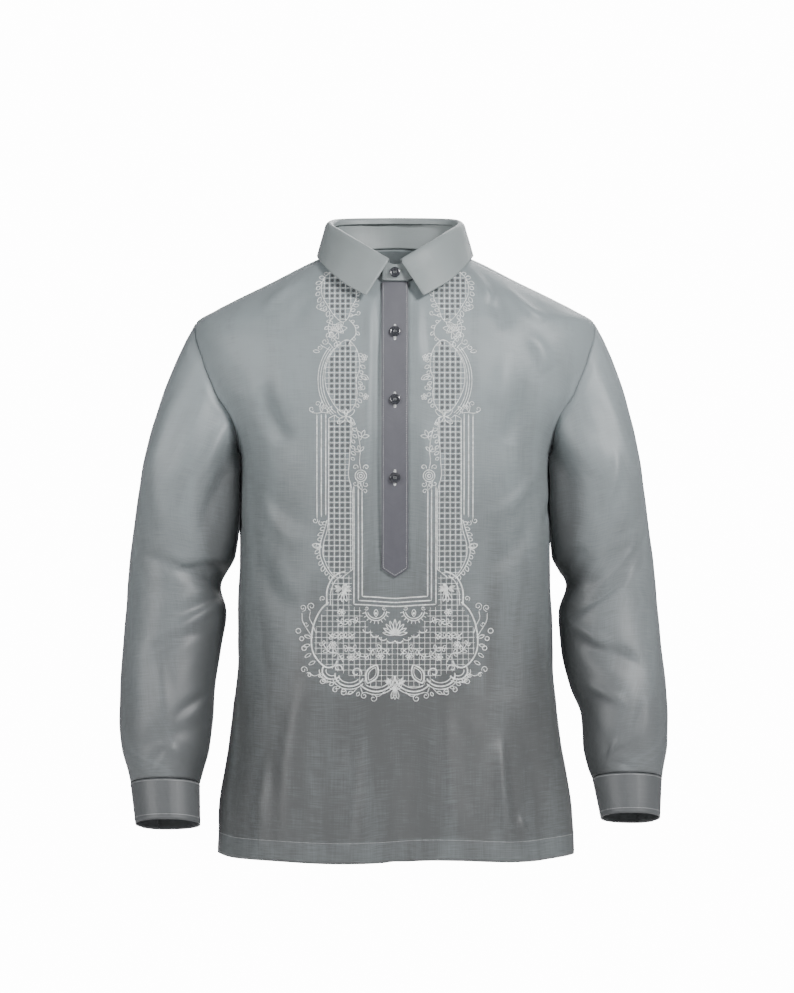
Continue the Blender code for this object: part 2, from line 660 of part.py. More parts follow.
def grid_quads(rows, columns, closed=False, flip=False, skip=None):
    """Faces of a grid; `skip(row, column)` leaves a face out."""
    quads = []
    for i in range(rows - 1):
        for j in range(columns if closed else columns - 1):
            if skip and skip(i, j):
                continue
            k = (j + 1) % columns
            quad = (i * columns + j, i * columns + k, (i + 1) * columns + k, (i + 1) * columns + j)
            quads.append(quad[::-1] if flip else quad)
    return quads


front = panel_grid(True)
rows, columns = front.shape[:2]
centre = columns // 2
cloth("front_panel", front,
      grid_quads(rows, columns, skip=lambda i, j: i >= ROWS_LOW and j in (centre - 1, centre)), CLOTH, ORGANZA)

back = panel_grid(False)
cloth("back_panel", back, grid_quads(*back.shape[:2]), CLOTH, ORGANZA)

MIRROR_X = np.array([-1.0, 1.0, 1.0])
for name, rows_of, folds, side in (("right", SLEEVE_RIGHT, RIGHT_FOLDS, -1), ("left", SLEEVE_LEFT, LEFT_FOLDS, 1)):
    sleeve, alpha = sleeve_grid(rows_of, folds, CAP_RINGS, ARM_RINGS, ROWS_ARM, ROWS_ARM_BACK)
    cuff_row = [row for row in CUFFS if row[0] == side][0]
    cuff = cuff_grid(rows_of, cuff_row)
    if side < 0:
        sleeve = sleeve * MIRROR_X
        cuff = cuff * MIRROR_X
    cloth("sleeve_" + name, sleeve, grid_quads(*sleeve.shape[:2], closed=True, flip=side < 0), CLOTH, ORGANZA)
    cloth("cuff_" + name, cuff, grid_quads(*cuff.shape[:2], flip=side < 0), DOUBLE, BAND)

stand = stand_grid()
cloth("collar_stand", stand, grid_quads(*stand.shape[:2]), DOUBLE, BAND)
fall = fall_grid()
cloth("collar_fall", fall, grid_quads(*fall.shape[:2], flip=True), DOUBLE, BAND)


def placket_grid(foot, pointed, out):
    """Placket strip over the slot, from the panel's own points; rows run up from its foot."""
    first = ROWS_LOW
    left = front[:, centre - 1]
    right = front[:, centre + 1]
    left_2 = front[:, centre - 2]
    right_2 = front[:, centre + 2]
    middle = front[:, centre]

    def row(i):
        def edge(near, far, x):
            share = (x - near[i, 0]) / (far[i, 0] - near[i, 0])
            return near[i] + (far[i] - near[i]) * share
        return np.array([edge(left, left_2, -PLACKET_HALF), left[i], middle[i], right[i],
                         edge(right, right_2, PLACKET_HALF)])

    upper = row(first)
    lower = row(first - 1)

    def between(z):
        return upper + (lower - upper) * (upper[2, 2] - z) / (upper[2, 2] - lower[2, 2])

    lines = [row(i) for i in range(first, rows)]
    lines.insert(0, between(foot))
    if pointed:
        tip = between(PLACKET_POINT)[2]
        taper = between(foot).copy()
        for k, share in enumerate((1.0, 0.87, 0.0, 0.87, 1.0)):
            taper[k] = taper[k] + (tip - taper[2]) * (1.0 - share) * np.array([0.0, 1.0, 1.0])
        lines[0] = taper
    lines = np.array(lines)
    lines[-1] = lines[-1] - np.array([0.0, 0.0, SEAM * 0.5])
    away = lines * np.array([0.35, 1.0, 0.0])
    away = away / np.linalg.norm(away, axis=-1, keepdims=True)
    return lines + away * out


over = placket_grid(PLACKET_SIDES, True, SEAM + DOUBLE + 0.0001)
cloth("placket_over", over, grid_quads(*over.shape[:2]), DOUBLE, BAND)
under = placket_grid(UNDER_FOOT, False, -(CLOTH + SEAM + 0.0001))
cloth("placket_under", under, grid_quads(*under.shape[:2]), DOUBLE, BAND)


def button(name, centre_point, normal, radius):
    """A four-hole button: a turned profile with a raised rim, set square to the cloth."""
    profile = ((0.0, 0.0), (0.80, 0.0), (0.97, 0.24), (1.0, 0.52), (0.93, 0.88), (0.80, 1.0),
               (0.66, 0.90), (0.54, 0.66), (0.0, 0.58))
    turns = 24
    bm = bmesh.new()
    rings = []
    for share, height in profile:
        z = height * BUTTON_THICK
        if share == 0.0:
            rings.append([bm.verts.new((0.0, 0.0, z))])
            continue
        r = share * radius
        rings.append([bm.verts.new((r * math.cos(2 * math.pi * k / turns), r * math.sin(2 * math.pi * k / turns), z))
                      for k in range(turns)])
    for lower, upper in zip(rings[:-1], rings[1:]):
        for k in range(turns):
            n = (k + 1) % turns
            if len(lower) == 1:
                bm.faces.new((lower[0], upper[n], upper[k]))
            elif len(upper) == 1:
                bm.faces.new((lower[k], lower[n], upper[0]))
            else:
                bm.faces.new((lower[k], lower[n], upper[n], upper[k]))
    mesh = bpy.data.meshes.new(name)
    bm.to_mesh(mesh)
    bm.free()
    place = Matrix.Translation(centre_point) @ Vector(normal).to_track_quat("Z", "Y").to_matrix().to_4x4()
    mesh.transform(place)
    made = add(name, mesh, RESIN)
    bm = bmesh.new()
    for k in range(4):
        turn = math.pi / 4 + k * math.pi / 2
        spot = Matrix.Translation((BUTTON_HOLE_OUT * math.cos(turn), BUTTON_HOLE_OUT * math.sin(turn),
                                   BUTTON_THICK / 2))
        bmesh.ops.create_cone(bm, cap_ends=True, segments=8, radius1=BUTTON_HOLE, radius2=BUTTON_HOLE,
                              depth=BUTTON_THICK * 2, matrix=spot)
    holes = bpy.data.meshes.new(name + "_holes")
    bm.to_mesh(holes)
    bm.free()
    holes.transform(place)
    cutter = add(name + "_holes", holes, RESIN, tools)
    cutter.hide_render = True
    cutter.display_type = "WIRE"
    cut = made.modifiers.new("holes", "BOOLEAN")
    cut.operation = "DIFFERENCE"
    cut.object = cutter
    return made


def facing(low, high):
    """Direction out of the cloth at the centre front between two of its points."""
    run = high - low
    return Vector((0.0, -run[2], run[1])).normalized()


for k, height in enumerate(BUTTON_HEIGHTS):
    low = body(0.0, height - 0.006)
    high = body(0.0, height + 0.006)
    normal = facing(low, high)
    seat = Vector(body(0.0, height)) + normal * (SEAM + DOUBLE + BUTTON_LIFT)
    button("button_front_%d" % (k + 1), seat, normal, BUTTON_RADIUS)

# Stand button, on the over end of the stand
middle = stand[:, 1]
share = (STAND_BUTTON_Z - middle[0, 2]) / (middle[-1, 2] - middle[0, 2])
on_stand = middle[0] + (middle[-1] - middle[0]) * share
normal = facing(middle[0], middle[-1])
seat = Vector(on_stand) + normal * (BUTTON_LIFT + 0.0012)
button("button_stand", seat, normal, BUTTON_RADIUS)

# Cuff buttons, on the laps
for name, rows_of, side in (("right", SLEEVE_RIGHT, -1), ("left", SLEEVE_LEFT, 1)):
    cuff_row = [row for row in CUFFS if row[0] == side][0]
    at = np.array([CUFF_LAP_AT - 5.0, CUFF_LAP_AT, CUFF_LAP_AT + 5.0])
    line = cuff_point(rows_of, cuff_row, at, 0.5, CUFF_STEP)
    lower = cuff_point(rows_of, cuff_row, at, 0.6, CUFF_STEP)
    across = Vector(line[2] - line[0])
    down = Vector(lower[1] - line[1])
    normal = down.cross(across).normalized()
    if normal.dot(Vector((line[1][0] - 0.27, line[1][1] + 0.05, 0.0))) < 0:
        normal = -normal
    seat = Vector(line[1]) + normal * (BUTTON_LIFT + 0.0002)
    if side < 0:
        seat = Vector((-seat.x, seat.y, seat.z))
        normal = Vector((-normal.x, normal.y, normal.z))
    button("button_cuff_" + name, seat, normal, CUFF_BUTTON_RADIUS)
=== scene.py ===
"""Barong tagalog shirt: cloth shells, creases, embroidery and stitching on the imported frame.

Metres, +Z up, front towards -Y, the wearer's right at -X. The cloth is worked out from the same named
sizes and section tables as the CAD, on finer grids. Creases and embroidery are drawn in millimetres.
"""
import math

import bmesh
import bpy
import numpy as np
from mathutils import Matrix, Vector


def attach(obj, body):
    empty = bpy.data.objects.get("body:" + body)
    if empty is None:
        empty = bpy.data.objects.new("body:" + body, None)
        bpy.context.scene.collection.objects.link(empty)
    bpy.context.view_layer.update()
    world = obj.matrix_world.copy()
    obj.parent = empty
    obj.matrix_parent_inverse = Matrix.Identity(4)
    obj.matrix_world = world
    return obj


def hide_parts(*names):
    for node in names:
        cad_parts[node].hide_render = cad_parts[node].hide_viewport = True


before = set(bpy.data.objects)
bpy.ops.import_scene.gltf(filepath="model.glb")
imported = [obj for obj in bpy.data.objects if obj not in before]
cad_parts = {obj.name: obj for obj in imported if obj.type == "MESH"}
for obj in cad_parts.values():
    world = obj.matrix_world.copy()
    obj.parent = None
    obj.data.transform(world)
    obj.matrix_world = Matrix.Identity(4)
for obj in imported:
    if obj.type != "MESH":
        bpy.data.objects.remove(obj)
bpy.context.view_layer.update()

# Walls and gaps
CLOTH = 0.0012          # single cloth, with its seam allowances
DOUBLE = 0.0017         # two layers and interfacing: collar, cuffs, placket
SEAM = 0.0004           # clear gap between sewn pieces
SLEEVE_GAP = 0.0013     # gap at the armhole, where the walls meet at an angle
SHOULDER_GAP = 0.0010   # gap along the shoulder seam, which turns over the shoulder
EDGE_GAP = 0.09         # degrees from a panel's edge to the line of the side seam
MM = 0.001
UP = np.array([0.0, 0.0, 1.0])
MIRROR_X = np.array([-1.0, 1.0, 1.0])

# Front opening
SLOT_HALF = 0.0135      # half the width of the slot cut in the front
SLOT_FOOT = -0.362      # lower end of the slot
PLACKET_HALF = 0.0155   # half the width of the placket strips
PLACKET_SIDES = -0.3650
PLACKET_POINT = -0.3755
UNDER_FOOT = -0.3685

# Neck ring, in plan
NECK_HALF = 0.076
NECK_FRONT = 0.084
NECK_BACK = 0.063
SHOULDER_BETA = 70.0    # where the shoulder seam meets the neckline, in degrees round from the front

# Lower edge and side vents
HEM = -0.706
UNDERARM = -0.236
VENT_TOP = -0.531
CHEST_ROW = -0.250      # height at the centre of the row that meets the underarm

# Grid counts
ROWS_LOW = 10           # hem to the foot of the slot
ROWS_MID = 4            # foot of the slot to the underarm
ROWS_ARM = 8            # up the front armhole
ROWS_ARM_BACK = 12      # up the back armhole and over the shoulder
NECK_STEP = 0.42        # share of the top edge that is neckline
SHOULDER_STEPS = (0.52, 0.62, 0.72, 0.82, 0.91, 1.0)
FRONT_STEPS = (0.0, 0.016, 0.10, 0.20, 0.31, NECK_STEP) + SHOULDER_STEPS
BACK_STEPS = (0.0, 0.14, 0.28, NECK_STEP) + SHOULDER_STEPS
EVEN_ROUNDS = 150       # rounds of evening out a panel's grid
EVEN_UP = 0.08          # share of each neighbour up and down a column, against those along a row
HALVINGS = 44           # rounds of closing in on a height
SHOULDER_HEIGHTS = (-0.0950, 0.0260)

# Body sections: half width, depth to the front and back, and how square the section is
BODY_NAMES = ("z", "half_width", "front", "back", "roundness")
BODY = (
    (0.0260, 0.0640, 0.0450, 0.0585, 2.00),
    (0.0160, 0.0715, 0.0520, 0.0660, 2.00),
    (0.0080, 0.0820, 0.0585, 0.0720, 2.00),
    (0.0000, 0.1000, 0.0655, 0.0790, 2.00),
    (-0.0100, 0.1200, 0.0725, 0.0860, 2.00),
    (-0.0240, 0.1470, 0.0805, 0.0940, 2.00),
    (-0.0400, 0.1800, 0.0890, 0.1010, 2.05),
    (-0.0580, 0.2150, 0.0965, 0.1080, 2.10),
    (-0.0730, 0.2380, 0.1020, 0.1120, 2.20),
    (-0.0950, 0.2425, 0.1090, 0.1170, 2.30),
    (-0.1180, 0.2415, 0.1145, 0.1210, 2.30),
    (-0.1570, 0.2310, 0.1210, 0.1250, 2.30),
    (-0.1820, 0.2125, 0.1245, 0.1260, 2.30),
    (-0.2100, 0.1945, 0.1270, 0.1255, 2.30),
    (-0.2360, 0.1870, 0.1275, 0.1240, 2.35),
    (-0.3200, 0.1860, 0.1240, 0.1160, 2.40),
    (-0.4000, 0.1865, 0.1205, 0.1100, 2.40),
    (-0.4800, 0.1885, 0.1210, 0.1110, 2.40),
    (-0.5300, 0.1930, 0.1240, 0.1170, 2.40),
    (-0.5900, 0.2010, 0.1300, 0.1250, 2.35),
    (-0.6500, 0.2110, 0.1360, 0.1330, 2.30),
    (-0.7200, 0.2155, 0.1400, 0.1390, 2.30),
)

# Armhole, as height and angle round from the centre front, from the shoulder seam to the underarm
EDGE_NAMES = ("z", "angle")
ARMHOLE_FRONT = (
    (-0.0860, 76.1),
    (-0.1020, 70.8),
    (-0.1180, 66.8),
    (-0.1570, 63.0),
    (-0.1820, 63.7),
    (-0.2120, 71.5),
    (-0.2310, 81.5),
    (-0.2360, 90.0),
)
ARMHOLE_BACK = (
    (-0.0860, 76.1),
    (-0.0735, 90.0),
    (-0.0920, 104.5),
    (-0.1180, 110.5),
    (-0.1500, 114.0),
    (-0.1800, 110.5),
    (-0.2120, 101.5),
    (-0.2310, 95.5),
    (-0.2360, 90.0),
)

# Side vents: side, then how far its front and back edges turn from the side at the hem, in degrees
VENTS = (
    (-1, 13.0, 7.0),
    (1, 3.5, 9.0),
)

# Sleeve sections: inner and outer edge across, front and back edge in depth, and forward lean in degrees
SLEEVE_NAMES = ("z", "inner", "outer", "front", "back", "lean")
SLEEVE_RIGHT = (
    (-0.2620, 0.1897, 0.3055, -0.0730, 0.0780, 0.0),
    (-0.3100, 0.1900, 0.3130, -0.0670, 0.0820, 0.0),
    (-0.3520, 0.1925, 0.3180, -0.0610, 0.0820, 2.0),
    (-0.3880, 0.2080, 0.3212, -0.0580, 0.0780, 5.0),
    (-0.4200, 0.2020, 0.3235, -0.0620, 0.0720, 8.0),
    (-0.4620, 0.2085, 0.3260, -0.0700, 0.0580, 11.0),
    (-0.5080, 0.2145, 0.3280, -0.0800, 0.0430, 13.0),
    (-0.5480, 0.2165, 0.3285, -0.0880, 0.0310, 14.0),
    (-0.5820, 0.2210, 0.3240, -0.0920, 0.0180, 15.0),
    (-0.6060, 0.2275, 0.3175, -0.0900, 0.0050, 15.0),
    (-0.6215, 0.2315, 0.3135, -0.0865, -0.0055, 15.0),
)
SLEEVE_LEFT = (
    (-0.2620, 0.1893, 0.2975, -0.0730, 0.0780, 0.0),
    (-0.3100, 0.1893, 0.3042, -0.0670, 0.0820, 0.0),
    (-0.3520, 0.1890, 0.3096, -0.0610, 0.0820, 2.0),
    (-0.3880, 0.2055, 0.3132, -0.0580, 0.0780, 5.0),
    (-0.4200, 0.1960, 0.3162, -0.0620, 0.0720, 8.0),
    (-0.4620, 0.1990, 0.3192, -0.0700, 0.0580, 11.0),
    (-0.5080, 0.2090, 0.3236, -0.0800, 0.0430, 13.0),
    (-0.5400, 0.2215, 0.3252, -0.0860, 0.0330, 14.0),
    (-0.5750, 0.2235, 0.3235, -0.0910, 0.0200, 15.0),
    (-0.6000, 0.2285, 0.3195, -0.0890, 0.0065, 15.0),
    (-0.6150, 0.2340, 0.3170, -0.0850, -0.0040, 15.0),
)
SLEEVE_ROUNDNESS = 2.1
SEAM_ALPHA = 15.0       # where the shoulder seam meets the sleeve, in degrees from its outer edge
CAP_RINGS = 6
ARM_RINGS = 15
CAP_OUT = (0.05, 0.45)  # how far outwards the cap sets off: everywhere, and more by the outer edge
CAP_SIDEWAYS = 0.30

# Cuffs: side, half width and half depth at the top and at the bottom, height along the arm, and shift
# across at the bottom
CUFFS = (
    (-1, 0.0412, 0.0405, 0.0385, 0.0388, 0.0480, -0.0040),
    (1, 0.0412, 0.0405, 0.0352, 0.0378, 0.0470, 0.0030),
)
CUFF_LAP = 30.0         # degrees of lap
CUFF_LAP_AT = 305.0     # middle of the lap, round from the outer edge by the front
CUFF_STEP = 0.0024      # how far the top layer of a lap stands off the lower one
CUFF_RISE = 26.0        # degrees over which that layer rises
CUFF_DROP = 0.0004      # gap to the sleeve, besides the seam's
CUFF_COLUMNS = 26

# Collar: fold line and lower edge of the fall, by plan angle from the front
COLLAR_NAMES = ("beta", "fold_x", "fold_y", "fold_z", "edge_x", "edge_y", "edge_z")
COLLAR = (
    (6.0, 0.0075, -0.0835, -0.0035, 0.0335, -0.1005, -0.0462),
    (20.0, 0.0230, -0.0790, 0.0060, 0.0470, -0.0955, -0.0385),
    (40.0, 0.0440, -0.0640, 0.0195, 0.0640, -0.0850, -0.0275),
    (62.0, 0.0640, -0.0360, 0.0335, 0.0815, -0.0600, -0.0105),
    (90.0, 0.0785, 0.0000, 0.0460, 0.0930, -0.0050, 0.0070),
    (120.0, 0.0725, 0.0330, 0.0525, 0.0850, 0.0440, 0.0105),
    (150.0, 0.0420, 0.0575, 0.0560, 0.0500, 0.0715, 0.0125),
    (180.0, 0.0000, 0.0655, 0.0570, 0.0000, 0.0800, 0.0135),
)
FALL_ROLL = 0.0022      # rise and turn of the roll over the stand
STAND_TOP_GAP = 0.0044  # stand's upper edge below the fold line
STAND_INSET = 0.0032    # stand's upper edge inside the fold line at the front
STAND_LAP = 0.0024      # over end of the stand stands off the under end
STAND_BOW = 0.0012      # how far the stand swells between its edges
COLLAR_ENDS = 6.0       # degrees from the centre front to where the fall starts
FALL_HALF = 12          # columns of half the fall
# First rows of the fall: in from the fold line, share of the stand's inset, and down
FALL_START = ((0.0036, 1.0, 0.0062), (0.0026, 0.6, 0.0012), (-0.0006, 0.0, -0.0006))
STAND_GAP = 0.0006      # gap to the neckline, besides the seam's
STAND_RISE = (34.0, 26.0)   # degrees from the front where the lap's rise ends, and over which it rises
INSET_FADE = (75.0, 45.0)   # the same for the stand's inset

# Buttons
BUTTON_THICK = 0.0026
BUTTON_HOLE_OUT = 0.0016  # holes from the middle
THREAD_RADIUS = 0.00040
SHANK_RADIUS = 0.0013
BUTTON_LIFT = 0.0007
BUTTON_HEIGHTS = (-0.0890, -0.1685, -0.2590)
STAND_BUTTON_Z = -0.0180

# Largest folds: angle and height at both ends, width, and how far it stands out (minus is a trough)
BODY_REACH = 0.00270    # metres of cloth per degree round the body
BODY_FOLDS = (
    (-30.0, -0.400, -36.0, -0.700, 0.034, 0.0045),
    (-62.0, -0.480, -68.0, -0.710, 0.022, -0.0040),
    (24.0, -0.420, 33.0, -0.710, 0.030, 0.0040),
    (48.0, -0.560, 54.0, -0.715, 0.018, -0.0045),
    (70.0, -0.500, 73.0, -0.700, 0.020, 0.0035),
    (-70.0, -0.250, -30.0, -0.330, 0.018, -0.0025),
    (72.0, -0.250, 34.0, -0.335, 0.018, -0.0025),
    (150.0, -0.330, 158.0, -0.700, 0.032, 0.0050),
    (-148.0, -0.350, -160.0, -0.700, 0.034, 0.0050),
    (118.0, -0.430, 112.0, -0.705, 0.024, -0.0040),
    (-120.0, -0.440, -113.0, -0.705, 0.026, -0.0040),
)
SLEEVE_REACH = 0.00108  # metres of cloth per degree round the sleeve
RIGHT_FOLDS = (
    (172.0, -0.394, 60.0, -0.356, 0.011, -0.0060),
    (160.0, -0.402, 85.0, -0.436, 0.012, -0.0045),
    (20.0, -0.200, 62.0, -0.300, 0.015, 0.0040),
    (195.0, -0.394, 285.0, -0.350, 0.013, -0.0055),
    (205.0, -0.405, 270.0, -0.455, 0.013, -0.0045),
    (140.0, -0.560, 50.0, -0.590, 0.012, -0.0040),
    (320.0, -0.560, 240.0, -0.585, 0.012, -0.0040),
)
LEFT_FOLDS = (
    (50.0, -0.338, 140.0, -0.418, 0.011, -0.0065),
    (150.0, -0.380, 80.0, -0.352, 0.011, -0.0045),
    (35.0, -0.215, 70.0, -0.320, 0.016, 0.0040),
    (200.0, -0.394, 290.0, -0.352, 0.013, -0.0055),
    (200.0, -0.410, 275.0, -0.460, 0.013, -0.0045),
    (130.0, -0.465, 70.0, -0.500, 0.012, -0.0040),
    (115.0, -0.590, 60.0, -0.600, 0.011, -0.0045),
    (320.0, -0.560, 240.0, -0.585, 0.012, -0.0040),
)


def ease(x):
    x = np.clip(x, 0.0, 1.0)
    return x * x * (3 - 2 * x)


def through(xs, ys, at):
    """A smooth curve through values or whole rows `ys` at `xs`, which never passes them, read at `at`."""
    xs = np.asarray(xs, float)
    ys = np.asarray(ys, float)
    at = np.clip(np.asarray(at, float), xs[0], xs[-1])
    step = np.diff(xs)
    slope = np.diff(ys, axis=0) / step.reshape((-1,) + (1,) * (ys.ndim - 1))
    tangent = np.zeros_like(ys)
    same = slope[:-1] * slope[1:] > 0
    total = np.where(same, slope[:-1] + slope[1:], 1.0)
    tangent[1:-1] = np.where(same, 2 * slope[:-1] * slope[1:] / total, 0.0)
    tangent[0] = slope[0]
    tangent[-1] = slope[-1]
    k = np.clip(np.searchsorted(xs, at) - 1, 0, len(step) - 1)
    shape = np.shape(at) + (1,) * (ys.ndim - 1)
    t = np.reshape((at - xs[k]) / step[k], shape)
    step = np.reshape(step[k], shape)
    lower = ys[k] * (1 + 2 * t) * (1 - t) ** 2 + step * tangent[k] * t * (1 - t) ** 2
    return lower + ys[k + 1] * t * t * (3 - 2 * t) + step * tangent[k + 1] * t * t * (t - 1)


def read(rows, names, name, at):
    """One named column of a table, smoothly, at a value of its first column."""
    data = np.array(rows, float)
    order = np.argsort(data[:, 0])
    return through(data[order, 0], data[order, names.index(name)], at)


def along(rows, share):
    """A point at each share of the way along the line through a table of (z, angle) rows."""
    data = np.array(rows, float)
    reach = data * np.array([1.0, BODY_REACH])
    run = np.concatenate([[0.0], np.cumsum(np.hypot(*np.diff(reach, axis=0).T))])
    at = np.asarray(share, float) * run[-1]
    return through(run, data[:, 1], at), through(run, data[:, 0], at)


def fold_height(rows, reach, angle, z):
    """How far the cloth stands out from its plain form."""
    total = np.zeros(np.broadcast(angle, z).shape)
    for a1, z1, a2, z2, width, height in rows:
        run = np.array([(a2 - a1) * reach, z2 - z1])
        u = ((angle - a1 + 180.0) % 360.0 - 180.0) * reach
        v = z - z1
        t = np.clip((u * run[0] + v * run[1]) / (run @ run), 0.0, 1.0)
        away = np.hypot(u - t * run[0], v - t * run[1])
        total = total + height * np.exp(-(away / width) ** 2) * (0.4 + 0.6 * np.sin(math.pi * t))
    return total


def body_size(name, z):
    return read(BODY, BODY_NAMES, name, z)


def body_depth(front, z):
    return np.where(front, body_size("front", z), body_size("back", z))


def squareness(turn, n):
    """How far a squared circle of power `n` reaches at a turn, against a unit circle."""
    return (np.abs(np.sin(turn)) ** n + np.abs(np.cos(turn)) ** n) ** (-1.0 / n)


def body(angle, z, lift=0.0, folded=True):
    """A point of the body cloth at an angle round from the centre front, + towards +X, and a height."""
    angle, z = np.broadcast_arrays(np.asarray(angle, float), np.asarray(z, float))
    turn = np.radians(np.abs(angle))
    n = body_size("roundness", z)
    rho = squareness(turn, n)
    wide = body_size("half_width", z)
    deep = body_depth(np.cos(turn) > 0, z)
    x = wide * rho * np.sin(turn)
    y = -deep * rho * np.cos(turn)
    out_x = (np.abs(x) / wide) ** (n - 1) / wide
    out_y = np.sign(y) * (np.abs(y) / deep) ** (n - 1) / deep
    size = np.hypot(out_x, out_y)
    out = lift
    if folded:
        out = out + fold_height(BODY_FOLDS, BODY_REACH, angle, z)
    side = np.where(angle < 0, -1.0, 1.0)
    return np.stack([side * (x + out * out_x / size), y + out * out_y / size, z], axis=-1)


def angle_across(x, z):
    """The angle of the front cloth that lies at `x` across, at a height."""
    n = body_size("roundness", z)
    share = (abs(x) / body_size("half_width", z)) ** n
    return np.degrees(np.arctan((share / (1.0 - share)) ** (1.0 / n)))


def body_from_plan(x, y):
    """The angle and height of the shoulder cloth above a point in plan."""
    x, y = np.broadcast_arrays(np.abs(np.asarray(x, float)), np.asarray(y, float))
    low = np.full(x.shape, SHOULDER_HEIGHTS[0])
    high = np.full(x.shape, SHOULDER_HEIGHTS[1])
    for _ in range(HALVINGS):
        mid = (low + high) / 2
        n = body_size("roundness", mid)
        deep = body_depth(y < 0, mid)
        beyond = (x / body_size("half_width", mid)) ** n + (np.abs(y) / deep) ** n > 1.0
        high = np.where(beyond, mid, high)
        low = np.where(beyond, low, mid)
    z = (low + high) / 2
    return angle_of(x, y, z), z


def neck_plan(beta):
    """Plan of the neckline at an angle round from the front."""
    turn = np.radians(beta)
    c = np.cos(turn)
    return NECK_HALF * np.sin(turn), -np.where(c > 0, NECK_FRONT, NECK_BACK) * c


def shoulder_line(share, shift):
    """Shoulder seam from neckline to armhole: plan points, moved `shift` in depth."""
    x1, y1 = neck_plan(SHOULDER_BETA)
    end = body(ARMHOLE_FRONT[0][1], ARMHOLE_FRONT[0][0])
    x = x1 + (end[0] - x1) * share
    y = y1 + (end[1] - y1) * share + shift
    return body_from_plan(x, y)


def patch(inner, outer, bottom, top, steps):
    """Coons patch over (angle, z) edges: inner and outer run up, bottom and top run outwards."""
    r = np.linspace(0, 1, inner.shape[0])[:, None, None]
    c = np.asarray(steps)[None, :, None]
    sides = (1 - c) * inner[:, None] + c * outer[:, None]
    ends = (1 - r) * bottom[None] + r * top[None]
    corners = (1 - c) * ((1 - r) * bottom[0] + r * top[0]) + c * ((1 - r) * bottom[-1] + r * top[-1])
    return sides + ends - corners


def angle_of(x, y, z):
    """The angle round the body of a point near its cloth."""
    return np.degrees(np.arctan2(np.abs(x) / body_size("half_width", z), -y / body_depth(y < 0, z)))


def evened(domain):
    """The same grid with its inner points moved over the cloth until they are evenly spread."""
    for _ in range(EVEN_ROUNDS):
        p = body(domain[..., 0], domain[..., 1], folded=False)
        mid = (p[:-2, 1:-1] + p[2:, 1:-1]) * EVEN_UP + (p[1:-1, :-2] + p[1:-1, 2:]) * (0.5 - EVEN_UP)
        domain[1:-1, 1:-1] = pair(angle_of(mid[..., 0], mid[..., 1], mid[..., 2]), mid[..., 2])
    return domain


def pair(angle, z):
    angle, z = np.broadcast_arrays(angle, z)
    return np.stack([angle, z], axis=-1)


def hem_z(angle, side):
    """Height of the lower edge: level, with a slow wave."""
    signed = np.asarray(angle) * side
    return HEM + 0.0016 * np.sin(np.radians(signed * 4 + 40)) + 0.0012 * np.sin(np.radians(signed * 7))


def side_edge(z, side, front):
    """Angle of the side seam and, below it, of the vent edge."""
    _, front_turn, back_turn = next(row for row in VENTS if row[0] == side)
    share = np.clip((VENT_TOP - z) / (VENT_TOP - HEM), 0, 1) ** 1.3
    if front:
        return 90.0 - EDGE_GAP - front_turn * share
    return 90.0 + EDGE_GAP + back_turn * share


def low_rows(foot):
    """Heights up the lower rows, from the hem to the row that meets the underarm."""
    first = np.linspace(foot, SLOT_FOOT, ROWS_LOW + 1)
    second = np.linspace(SLOT_FOOT, CHEST_ROW, ROWS_MID + 1)[1:]
    return np.concatenate([first, second])


def half_panel(side, front):
    """(angle, z) grid of half a panel, from its centre outwards and its hem upwards."""
    steps = np.array(FRONT_STEPS if front else BACK_STEPS)
    on_neck = steps <= NECK_STEP + 1e-9
    armhole = ARMHOLE_FRONT if front else ARMHOLE_BACK
    arm_rows = ROWS_ARM if front else ROWS_ARM_BACK
    if front:
        first_beta = math.degrees(math.asin(SLOT_HALF / NECK_HALF))
    else:
        first_beta = 180.0
    beta = first_beta + (SHOULDER_BETA - first_beta) * steps[on_neck] / NECK_STEP
    shift = -SHOULDER_GAP / 2 if front else SHOULDER_GAP / 2
    beta[-1] = beta[-1] + math.degrees(shift / NECK_HALF)
    neck = pair(*body_from_plan(*neck_plan(beta)))
    share = (steps[~on_neck] - NECK_STEP) / (1 - NECK_STEP)
    seam = pair(*shoulder_line(share, shift))
    top = np.concatenate([neck, seam])
    foot = hem_z(0.0 if front else 180.0, side)
    low = low_rows(foot)
    high = CHEST_ROW + (top[0, 1] - CHEST_ROW) * np.arange(1, arm_rows + 1) / arm_rows
    centre_z = np.concatenate([low, high])
    centre_angle = angle_across(SLOT_HALF, centre_z) if front else np.full(centre_z.shape, 180.0)
    inner = pair(centre_angle, centre_z)
    inner[-1] = top[0]
    foot_edge = hem_z(90.0, side)
    edge_low = foot_edge + (low - low[0]) / (low[-1] - low[0]) * (UNDERARM - foot_edge)
    seam_low = pair(side_edge(edge_low, side, front), edge_low)
    arm = pair(*along(armhole, 1.0 - np.arange(0, arm_rows + 1) / arm_rows))
    outer = np.concatenate([seam_low[:-1], arm])
    outer[len(low) - 1] = seam_low[-1]
    outer[-1] = top[-1]
    bottom_angle = inner[0, 0] + (outer[0, 0] - inner[0, 0]) * steps
    bottom = pair(bottom_angle, hem_z(bottom_angle, side))
    inner[0] = bottom[0]
    outer[0] = bottom[-1]
    return evened(patch(inner, outer, bottom, top, steps))


